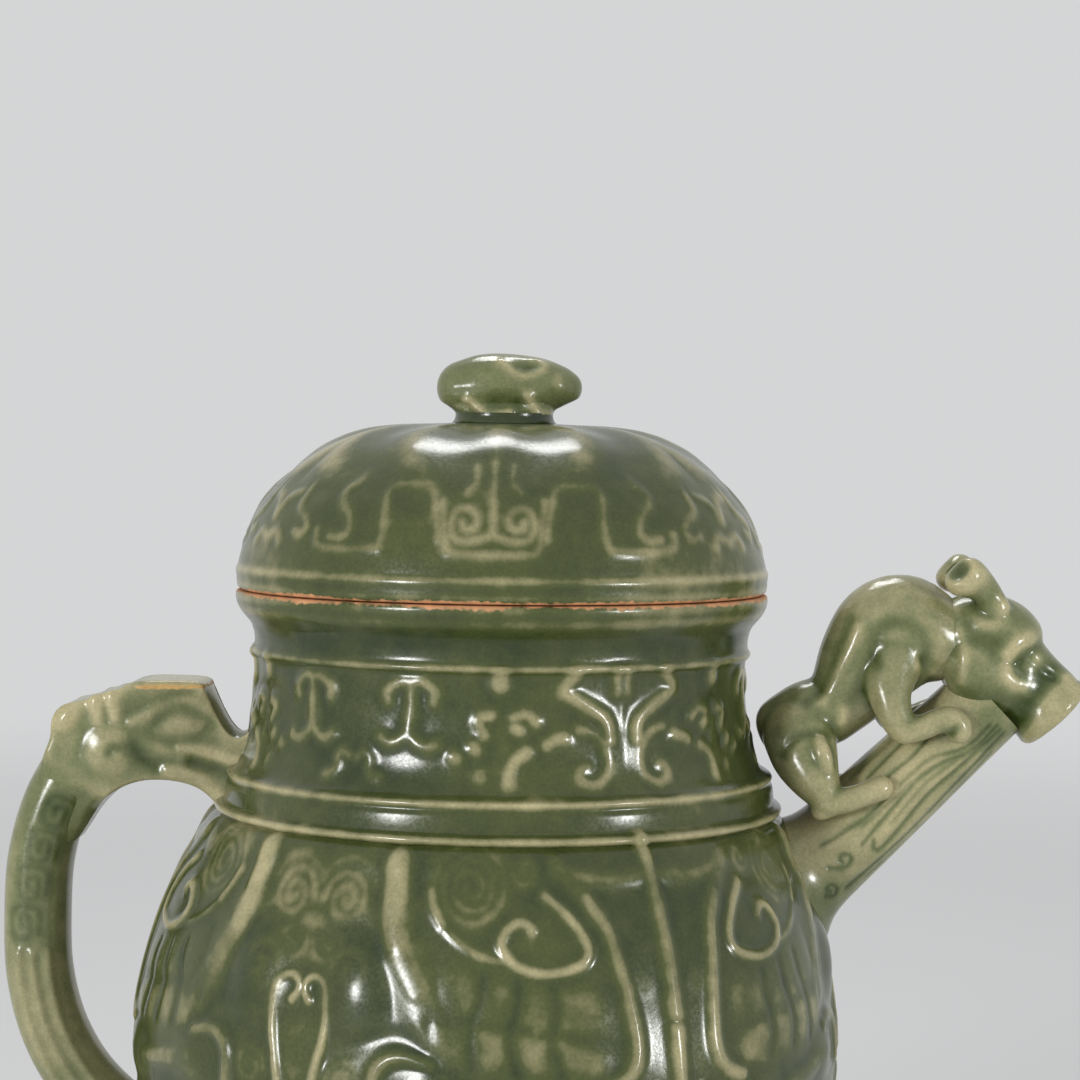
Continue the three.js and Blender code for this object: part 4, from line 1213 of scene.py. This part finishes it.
class EWER_OT_beast(bpy.types.Operator):
    """Model the beast that climbs the spout and holds its mouth"""

    bl_idname = "ewer.beast"
    bl_label = "Beast"

    def execute(self, context):
        relief = context.scene.ewer.relief
        chains = (
            (False, TORSO), (False, UNDERSIDE), (True, HIND_LEG), (True, HEEL), (True, FORE_LEG),
            (True, KNEE),
        )
        body = clay_form("beast_body", chains, on_spout, BEAST_VOXEL, 14)
        self.cut_lines(body, BEAST_LINES, relief, 0.52, 0.6, (
            "beast_torso", "beast_foreleg_front", "beast_foreleg_back", "beast_hindleg_front",
            "beast_hindleg_back",
        ))
        chains = (
            (False, HEAD), (True, CHEEK), (False, MUZZLE), (False, SNOUT), (True, EAR), (True, HORN),
            (False, self.lip_chain()),
        )
        head = clay_form("beast_head_glazed", chains, on_spout, BEAST_VOXEL, 10)
        places = spout_places(read_points(head))
        gap = np.hypot(*((places[:, ::2] - EAR_HOLLOW) / EAR_HOLLOW_REACH).T)
        outer = (np.abs(places[:, 1]) > 6.5) & (places[:, 2] > 22)
        hollow = np.where(outer, np.clip(1 - gap ** 2, 0, 1), 0)
        places[:, 1] -= np.sign(places[:, 1]) * 1.5 * hollow
        places[:, 2] -= 0.9 * hollow
        mouth = np.hypot(places[:, 0] - LIP_MIDDLE[0], places[:, 1]) / MOUTH_RADIUS
        inside = (places[:, 2] < -7.5) & (mouth < 1)
        places[:, 2] += np.where(inside, MOUTH_DEPTH * np.sqrt(np.clip(1 - mouth ** 2, 0, 1)), 0)
        write_points(head, on_spout(places))
        replaced = ("beast_head", "beast_ear_front", "beast_ear_back")
        self.cut_lines(head, HEAD_LINES, relief, 0.42, 0.54, replaced)
        return {"FINISHED"}

    def lip_chain(self):
        """Stations of the lips, an oval round the mouth."""
        stations = []
        for turn in np.linspace(0, 2 * math.pi, 25):
            along = LIP_MIDDLE[0] + LIP_REACH[0] * math.cos(turn)
            stations.append(((along, LIP_REACH[1] * math.sin(turn), LIP_MIDDLE[1]), LIP_THICKNESS))
        return stations

    def cut_lines(self, piece, strokes, relief, base, contrast, replaced):
        """Draw strokes on both sides of a form, shade it and finish it."""
        points = read_points(piece)
        places = spout_places(points)
        facing = facing_sides(piece, 1.8, 0.2)
        height, pale = stroke_fields(places[:, 0], places[:, 2], strokes)
        push_out(piece, points, soften(piece, height * facing, 3) * relief)
        smooth_form(piece, 9)
        thin = shade_form(piece, read_points(piece), height, pale * facing, base, contrast)
        finish_piece(piece, "ewer", "Pale glaze", replaced, thin)


# Handle: millimetres from the vessel's axis and above the table

HANDLE_LINE = (
    (-88, 145.5), (-92, 140.5), (-98, 130.5), (-101.6, 118), (-102.4, 104), (-101.7, 91), (-98.2, 78.5),
    (-91.6, 67.6), (-82, 59), (-72, 54.6), (-66.5, 53),
)
HANDLE_HALF = (7.2, 8.4)
HANDLE_STEP = 0.5
HANDLE_AROUND = 168
HANDLE_ROUNDNESS = 0.85
DRAGON_OUTLINE = (
    (-103.4, 132.6), (-101.6, 137.2), (-99.6, 141.4), (-98.2, 145.2), (-98, 148.6), (-96.4, 151.4),
    (-93.6, 152.6), (-90.4, 153.4), (-87.6, 154.6), (-83.6, 155.6), (-80.4, 157.2), (-76, 157.7),
    (-66, 157.5), (-63.8, 155.4), (-60.6, 149.4), (-58.4, 146.4), (-56.4, 146.2), (-54, 148.4),
    (-51.8, 151), (-51.8, 129.5), (-60.2, 128.6), (-62.8, 131.6), (-66.2, 134.2), (-71, 135.6),
    (-76.6, 135.8), (-80.8, 134.8), (-84.2, 133), (-86.8, 130.9), (-89.2, 127.9), (-91.2, 124.6),
    (-93.6, 121.4), (-96, 122.4), (-98.6, 127),
)
DRAGON_HALF = 9.4
DRAGON_EDGE = 3.6
DRAGON_VOXEL = 0.42
DRAGON_LINES = (
    # Eye
    (2.4, 0.25, 0.1, ((-74, 146.9), (-71.8, 149), (-69.2, 149.8), (-66.8, 149.4), (-65.2, 148.2),
        (-67, 146.6), (-69.4, 145.8), (-71.8, 146), (-74, 146.9))),
    (4.4, 0.5, 0.2, ((-71.4, 147.6), (-68.2, 148))),
    (2.2, -0.2, -0.15, ((-76.4, 146.4), (-73.2, 150), (-69, 151.4), (-65, 150.6), (-63, 148.2))),
    (2.2, -0.2, -0.15, ((-76.4, 146.4), (-73.4, 144.6), (-69.4, 143.9), (-65.6, 145), (-63, 148.2))),
    # Cheek
    (3.9, -0.5, -0.34, ((-80.2, 143.4), (-77.6, 140.6), (-74.6, 138.8))),
    (5, 0.2, 0.2, ((-72.8, 143.2), (-69.6, 142.4))),
    # Brow
    (3.9, -0.3, -0.2, ((-87, 149), (-82, 150), (-76, 152.6), (-70.4, 153), (-65.4, 151))),
    (2.4, 0.35, 0.2, ((-80.6, 148.6), (-76.6, 150.4), (-73.4, 152.6), (-68.6, 153.4), (-64.4, 151.4))),
    (1.8, -0.3, -0.16, ((-82.6, 150.6), (-77.4, 152.4), (-73, 154.4), (-67, 155))),
    # Curl behind the cheek
    (10.4, 1.3, 0.1, ((-85.2, 142.2), (-85, 142.4))),
    (1.8, 0.25, 0.12, ((-80.8, 143.6), (-82.2, 146.2), (-85.6, 147), (-88.8, 145), (-89.4, 141.4),
        (-87.2, 138.2), (-83.6, 137.8), (-81, 140.2))),
    (2.0, -0.35, -0.36, ((-81.8, 143), (-84, 143.2), (-84.8, 142))),
    (2.2, -0.12, -0.16, ((-79.6, 140), (-79.2, 144), (-81.6, 147.6), (-86, 148.6), (-90, 146.2),
        (-91.2, 142))),
    # Short bumps behind the crown
    (3.9, 1.4, 0.5, ((-95, 148.8), (-94, 150.2))),
    (3.0, 0.8, 0.5, ((-88.2, 153.4), (-87.4, 148.8))),
    (3.0, 0.8, 0.5, ((-84.6, 154.4), (-83.9, 149.6))),
    # Jaws
    (2.6, 0.7, 0.4, ((-69.6, 143.2), (-65.5, 142.6), (-61, 141.2), (-56.6, 140))),
    (2.8, -0.7, -0.24, ((-67, 139.8), (-62, 138.6), (-57, 137))),
    (2.6, 0.7, 0.4, ((-72.4, 138.2), (-68.5, 137.4), (-64, 135.6), (-60.6, 132.6))),
)


def handle_fret():
    """Square spirals down the handle's side, then ridges along its lower half."""
    strokes = []
    for start, middle in ((16.4, -2.6), (24.9, -1.6), (33.4, -0.4), (42.2, 1)):
        end = start + 6.2
        strokes.append((1.5, -0.06, -0.32, (
            (end - 0.8, middle - 3), (start + 0.1, middle - 2.9), (start, middle + 2.6),
            (end - 0.4, middle + 2.8), (end, middle - 0.8), (start + 2, middle - 1.1),
            (start + 2, middle + 1), (start + 4, middle + 0.9),
        )))
    for offset in (-3.6, -0.4, 2.8):
        strokes.append((2.0, 0.55, 0.15, ((52, offset), (66, offset), (84, offset), (104, offset))))
    return tuple(strokes)


class EWER_OT_handle(bpy.types.Operator):
    """Model the loop handle and the dragon's head on top of it"""

    bl_idname = "ewer.handle"
    bl_label = "Handle"

    def execute(self, context):
        self.make_loop(context.scene.ewer.relief)
        self.make_head(context.scene.ewer.relief)
        return {"FINISHED"}

    def make_loop(self, relief):
        """The loop with its fret and ridges."""
        line = flow(HANDLE_LINE, HANDLE_STEP)
        slope = np.gradient(line, axis=0)
        slope /= np.linalg.norm(slope, axis=1)[:, None]
        angles = np.linspace(0, 2 * math.pi, HANDLE_AROUND, endpoint=False)
        cos, sin = np.cos(angles), np.sin(angles)
        outward = np.sign(cos) * np.abs(cos) ** HANDLE_ROUNDNESS * HANDLE_HALF[0]
        across = np.sign(sin) * np.abs(sin) ** HANDLE_ROUNDNESS * HANDLE_HALF[1]
        rings = []
        for middle, way in zip(line, slope):
            rings.append(np.column_stack([
                middle[0] + way[1] * outward, across, middle[1] - way[0] * outward,
            ]))
        loop = tube("handle_glazed", rings)
        points = read_points(loop)
        run = np.repeat(np.arange(len(line)) * HANDLE_STEP, len(angles))
        offset = np.tile(outward, len(line))
        facing = facing_sides(loop, 2, 0.5)
        height, pale = stroke_fields(run, offset, handle_fret())
        push_out(loop, points, height * facing * relief)
        inner = np.clip(-offset / HANDLE_HALF[0] - 0.55, 0, 1)
        thin = 0.47 + pale * facing + 0.36 * inner + 0.12 * np.clip(offset / HANDLE_HALF[0], 0, 1)
        finish_piece(loop, "ewer", "Pale glaze", ("handle_loop",), soften(loop, thin, 3))

    def make_head(self, relief):
        """The dragon's head, cut from its side view, rounded and led into the loop."""
        outline = flow(DRAGON_OUTLINE + DRAGON_OUTLINE[:1], 0.9)[:-1]
        sides = [np.column_stack([outline[:, 0], np.full(len(outline), y), outline[:, 1]])
                 for y in (-DRAGON_HALF, DRAGON_HALF)]
        head = tube("dragon_head_glazed", sides)
        apply_modifier(head, "BEVEL", width=DRAGON_EDGE * MM, segments=5, limit_method="ANGLE")
        press_together(head, DRAGON_VOXEL)
        smooth_form(head, 22)
        points = read_points(head)
        points[:, 1] *= np.interp(points[:, 0], (-76, -62, -57), (1, 0.76, 0.8))
        lead, section = self.narrow_to_loop(points)
        across = points[:, 1]
        points[:, 1] = across * (1 - lead) + np.sign(across) * np.minimum(np.abs(across), section) * lead
        way = normals_of(head)
        edge = np.clip(np.abs(points[:, 1]) / (DRAGON_HALF * 0.8), 0, 1) ** 2.2
        edge *= 1 - np.abs(way[:, 1])
        slope = np.clip((points[:, 0] + 65) / 3, 0, 1) * np.clip((points[:, 2] - 142) / 4, 0, 1)
        points -= way * (2.4 * edge * slope)[:, None]
        write_points(head, points)
        smooth_form(head, 6)
        points = read_points(head)
        facing = facing_sides(head, 1.8, 0.2)
        height, pale = stroke_fields(points[:, 0], points[:, 2], DRAGON_LINES)
        push_out(head, points, soften(head, height * facing, 2) * relief)
        thin = shade_form(head, points, height, pale * facing, 0.6, 0.34)
        thin += (0.5 - thin) * lead
        along_top = np.clip((points[:, 0] + 83) / 6, 0, 1) * (points[:, 0] < -62.6)
        thin = np.maximum(thin, along_top * np.clip((points[:, 2] - 155.4) / 1.6, 0, 0.95))
        bare = along_top * np.exp(-((points[:, 2] - 156.4) / 0.75) ** 2) * 0.68
        finish_piece(head, "ewer", "Pale glaze", (
            "dragon_head", "dragon_curl_front", "dragon_curl_back",
        ), thin, bare)

    def narrow_to_loop(self, points):
        """How far each point of the head is led into the loop behind it, and its half width there."""
        line = flow(HANDLE_LINE, HANDLE_STEP)[:90]
        way = np.gradient(line, axis=0)
        way /= np.linalg.norm(way, axis=1)[:, None]
        gap = np.hypot(points[:, 0, None] - line[:, 0], points[:, 2, None] - line[:, 1])
        nearest = gap.argmin(axis=1)
        run = nearest * HANDLE_STEP
        out, up = (points[:, ::2] - line[nearest]).T
        inward = up * way[nearest, 0] - out * way[nearest, 1]
        fillet = np.interp(run, (14, 20, 28), (3.2, 2.2, 0.2))
        fillet *= np.clip(inward / HANDLE_HALF[0] * 2.4 - 1.4, 0, 1)
        share = np.clip(gap.min(axis=1) / (HANDLE_HALF[0] + fillet), 0, 1)
        section = np.maximum(HANDLE_HALF[1] * (1 - share ** 2.35) ** 0.43 - 0.4, 0.4)
        lead = np.clip((run - 9) / 7, 0, 1)
        lead = lead * lead * (3 - 2 * lead) * (points[:, 0] < -84)
        return lead, section


# Knob: millimetres from the vessel's axis and above the table

KNOB_BODY = (
    ((-9, 0, 222.6), (6, 6.6, 6)), ((-4, 0, 223), (7, 8.2, 7.1)), ((2, 0, 223), (7, 8.6, 7.1)),
    ((7.4, 0, 223.2), (6, 7.6, 6.1)), ((11.4, 0, 223), (4.7, 6, 4.8)),
    ((13.4, 0, 222.8), (3.7, 4.6, 3.8)),
)
KNOB_SKIRT = (
    ((-7, 0, 218), (5.4, 6.4, 4.4)), ((0, 0, 217.6), (6.4, 7.6, 4.4)), ((6, 0, 217.8), (5.4, 6.8, 4.4)),
)
KNOB_VOXEL = 0.3
KNOB_SINK = 0.6
# How far the plinth's waist lies inside its foot, and how softly the animal is drawn in to it
KNOB_WAIST = 0.3
KNOB_TUCK = 0.4
PLINTH_STEPS = 120
KNOB_LINES = (
    # Ear
    (1.8, 0.35, 0.34, ((-0.6, 228.2), (1.4, 226.6), (2.9, 225.6), (4.7, 225.1), (7, 225.8), (8.9, 226.9),
        (8.2, 228.3), (6.2, 228.8))),
    (2.2, -0.2, -0.3, ((3.2, 227.2), (6.2, 227))),
    # Feet
    (1.9, 0.8, 0.46, ((-7.8, 219.9), (-5.6, 218.3), (-3.2, 216.7), (0.2, 217), (1.4, 217.2))),
    (2.5, 0.8, 0.46, ((5.5, 220.6), (6.4, 218.5), (7.7, 216.9), (9.4, 216.8))),
    # Eye and belly
    (3.4, 0.6, 0.14, ((11.8, 223.8), (12.2, 223.2))),
    (3.9, -0.4, -0.2, ((-1.5, 219.8), (2.6, 219.6))),
)


class EWER_OT_knob(bpy.types.Operator):
    """Model the crouching animal on the lid and its low plinth"""

    bl_idname = "ewer.knob"
    bl_label = "Knob"

    def execute(self, context):
        chains = ((False, KNOB_BODY), (False, KNOB_SKIRT))
        knob = clay_form("knob_glazed", chains, np.asarray, KNOB_VOXEL, 14)
        points = read_points(knob)
        low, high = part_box("knob_plinth")
        reach, bottom, top = round_size(low, high)
        waist = reach - KNOB_WAIST
        spread = np.hypot(points[:, 0], points[:, 1])
        lift = np.clip(points[:, 2] - top, 0, None)
        allowed = waist + 0.8 * lift + 0.3 * lift ** 2
        tucked = spread - np.logaddexp(0, (spread - allowed) / KNOB_TUCK) * KNOB_TUCK
        widen(points, np.minimum(tucked, spread) / np.maximum(spread, 0.1))
        facing = facing_sides(knob, 2, 0)
        height, pale = stroke_fields(points[:, 0], points[:, 2], KNOB_LINES)
        push_out(knob, points, soften(knob, height * facing, 2) * context.scene.ewer.relief)
        points[:, 2] = np.maximum(points[:, 2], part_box("knob_beast")[0].z / MM - KNOB_SINK)
        write_points(knob, points)
        thin = shade_form(knob, points, height, pale * facing, 0.5, 0.3)
        # Painted shade: the animal is drawn darker towards its underside, where it sits on the plinth
        thin -= 0.4 * np.clip((218.6 - points[:, 2]) / 3, 0, 1)
        finish_piece(knob, "lid", "Pale glaze", ("knob_beast",), thin)
        outline = flow((
            (reach + 0.5, bottom), (reach, bottom + 0.5), (waist, top - 0.7), (waist, top),
        ), 0.25)
        profile = np.vstack([[(0, bottom)], outline, [(0, top)]])
        plinth = turned("knob_plinth_glazed", profile, PLINTH_STEPS)
        # The plinth takes a darker glaze tone than the lid's ground: painted shade under the animal
        count = len(plinth.data.vertices)
        finish_piece(plinth, "lid", "Olive glaze", ("knob_plinth",), np.full(count, 0.2))
        return {"FINISHED"}


# Stage

CAMERA_PLACE = (28.7, -608.7, 211.2)
CAMERA_TARGET = (8.19, 0.39, 189.3)
CAMERA_ROLL = 0.75
CAMERA_LENS = 92.33
FLOOR_SIZE = 12
FLOOR_FADE = (0.3, 1.6)
FLOOR_TONE = 0.7
BACKDROP = (0.66, 0.665, 0.67, 1)
FILL_LIGHT = (0.82, 0.83, 0.84, 1)
FILL_STRENGTH = 0.62
LIGHT_AIM = (0, 0, 0.13)
# Softboxes: name, place, size and power
SOFTBOXES = (
    ("left softbox", (-0.7, -0.84, 0.3), (0.22, 0.3), 5.5),
    ("right softbox", (0.9, -0.66, 0.26), (0.17, 0.22), 4),
    ("top softbox", (-0.06, 0.5, 0.95), (0.42, 0.26), 2.6),
)


class EWER_OT_stage(bpy.types.Operator):
    """Make the floor, the soft lights and the camera"""

    bl_idname = "ewer.stage"
    bl_label = "Stage"

    def execute(self, context):
        clear_selection()
        make_floor()
        make_lights()
        make_camera()
        return {"FINISHED"}


def backdrop_share(material):
    """Nodes that are 1 where the camera or a reflection looks, and 0 where light bounces."""
    nodes, links = material.node_tree.nodes, material.node_tree.links
    path = nodes.new("ShaderNodeLightPath")
    seen = path.outputs["Is Camera Ray"]
    for name in ("Is Glossy Ray", "Is Transmission Ray"):
        either = nodes.new("ShaderNodeMath")
        either.operation = "MAXIMUM"
        links.new(seen, either.inputs[0])
        links.new(path.outputs[name], either.inputs[1])
        seen = either.outputs[0]
    return seen


def make_floor():
    """A pale floor that fades into the backdrop with the distance from the ewer."""
    bpy.ops.mesh.primitive_plane_add(size=FLOOR_SIZE, location=(0, 0, 0))
    floor = bpy.context.object
    floor.name = "floor"
    material, shader = new_material("Pale floor")
    nodes, links = material.node_tree.nodes, material.node_tree.links
    place = nodes.new("ShaderNodeTexCoord")
    reach = nodes.new("ShaderNodeVectorMath")
    reach.operation = "LENGTH"
    links.new(place.outputs["Object"], reach.inputs[0])
    far = nodes.new("ShaderNodeMapRange")
    far.interpolation_type = "SMOOTHSTEP"
    far.inputs["From Min"].default_value, far.inputs["From Max"].default_value = FLOOR_FADE
    links.new(reach.outputs["Value"], far.inputs["Value"])
    share = nodes.new("ShaderNodeMath")
    share.operation = "MULTIPLY"
    links.new(far.outputs["Result"], share.inputs[0])
    links.new(backdrop_share(material), share.inputs[1])
    grain = nodes.new("ShaderNodeTexNoise")
    grain.inputs["Scale"].default_value = 3
    tone = nodes.new("ShaderNodeMapRange")
    tone.inputs["To Min"].default_value = FLOOR_TONE
    tone.inputs["To Max"].default_value = FLOOR_TONE + 0.04
    links.new(grain.outputs["Fac"], tone.inputs["Value"])
    links.new(tone.outputs["Result"], shader.inputs["Base Color"])
    shader.inputs["Roughness"].default_value = 0.8
    haze = nodes.new("ShaderNodeEmission")
    haze.inputs["Color"].default_value = BACKDROP
    blend = nodes.new("ShaderNodeMixShader")
    links.new(share.outputs[0], blend.inputs[0])
    links.new(shader.outputs[0], blend.inputs[1])
    links.new(haze.outputs[0], blend.inputs[2])
    links.new(blend.outputs[0], nodes["Material Output"].inputs["Surface"])
    floor.data.materials.append(material)


def soft_light(name, place, size, power):
    """One round softbox that faces the ewer."""
    data = bpy.data.lights.new(name, "AREA")
    data.shape = "ELLIPSE"
    data.size, data.size_y = size
    data.energy = power
    light = bpy.data.objects.new(name, data)
    bpy.context.scene.collection.objects.link(light)
    light.location = place
    light.rotation_euler = (Vector(LIGHT_AIM) - Vector(place)).to_track_quat("-Z", "Y").to_euler()


def make_lights():
    """Soft studio light from both sides and from above the back."""
    for softbox in SOFTBOXES:
        soft_light(*softbox)
    world = bpy.data.worlds.new("Studio")
    bpy.context.scene.world = world
    world.use_nodes = True
    nodes, links = world.node_tree.nodes, world.node_tree.links
    fill = nodes["Background"]
    fill.inputs["Color"].default_value = FILL_LIGHT
    fill.inputs["Strength"].default_value = FILL_STRENGTH
    seen = nodes.new("ShaderNodeBackground")
    seen.inputs["Color"].default_value = BACKDROP
    blend = nodes.new("ShaderNodeMixShader")
    links.new(backdrop_share(world), blend.inputs[0])
    links.new(fill.outputs[0], blend.inputs[1])
    links.new(seen.outputs[0], blend.inputs[2])
    links.new(blend.outputs[0], nodes["World Output"].inputs["Surface"])


def make_camera():
    """The photograph's viewing angle."""
    data = bpy.data.cameras.new("Camera")
    camera = bpy.data.objects.new("Camera", data)
    bpy.context.scene.collection.objects.link(camera)
    data.sensor_width = 36
    data.lens = CAMERA_LENS
    axis = Vector((AXIS_X, 0, 0))
    place = Vector(CAMERA_PLACE) * MM + axis
    look = Vector(CAMERA_TARGET) * MM + axis - place
    turn = look.to_track_quat("-Z", "Y").to_matrix().to_4x4()
    roll = Matrix.Rotation(math.radians(CAMERA_ROLL), 4, "Z")
    camera.matrix_world = Matrix.Translation(place) @ turn @ roll
    bpy.context.scene.camera = camera


class EWER_PT_panel(bpy.types.Panel):
    """Lists the steps in the 3D view's sidebar"""

    bl_label = "Celadon Ewer"
    bl_space_type = "VIEW_3D"
    bl_region_type = "UI"
    bl_category = "Ewer"

    def draw(self, context):
        settings = context.scene.ewer
        for name in ("pooled", "body", "thin", "pale_pooled", "pale_body", "clay", "ochre", "relief"):
            self.layout.prop(settings, name)
        for operator in OPERATORS:
            self.layout.operator(operator.bl_idname)


OPERATORS = (
    EWER_OT_belly, EWER_OT_neck, EWER_OT_lid, EWER_OT_legs, EWER_OT_spout, EWER_OT_beast, EWER_OT_handle,
    EWER_OT_knob, EWER_OT_stage,
)
CLASSES = (EwerSettings, *OPERATORS, EWER_PT_panel)


def register():
    """Add the classes and the scene's settings."""
    for cls in CLASSES:
        bpy.utils.register_class(cls)
    bpy.types.Scene.ewer = bpy.props.PointerProperty(type=EwerSettings)


def unregister():
    """Take the settings and the classes away again."""
    del bpy.types.Scene.ewer
    for cls in reversed(CLASSES):
        bpy.utils.unregister_class(cls)


def main():
    """Build every piece in order."""
    register()
    bpy.context.scene.view_settings.view_transform = "Standard"
    for step in (
        bpy.ops.ewer.belly, bpy.ops.ewer.neck, bpy.ops.ewer.lid, bpy.ops.ewer.legs, bpy.ops.ewer.spout,
        bpy.ops.ewer.beast, bpy.ops.ewer.handle, bpy.ops.ewer.knob, bpy.ops.ewer.stage,
    ):
        step()


if __name__ == "__main__":
    main()
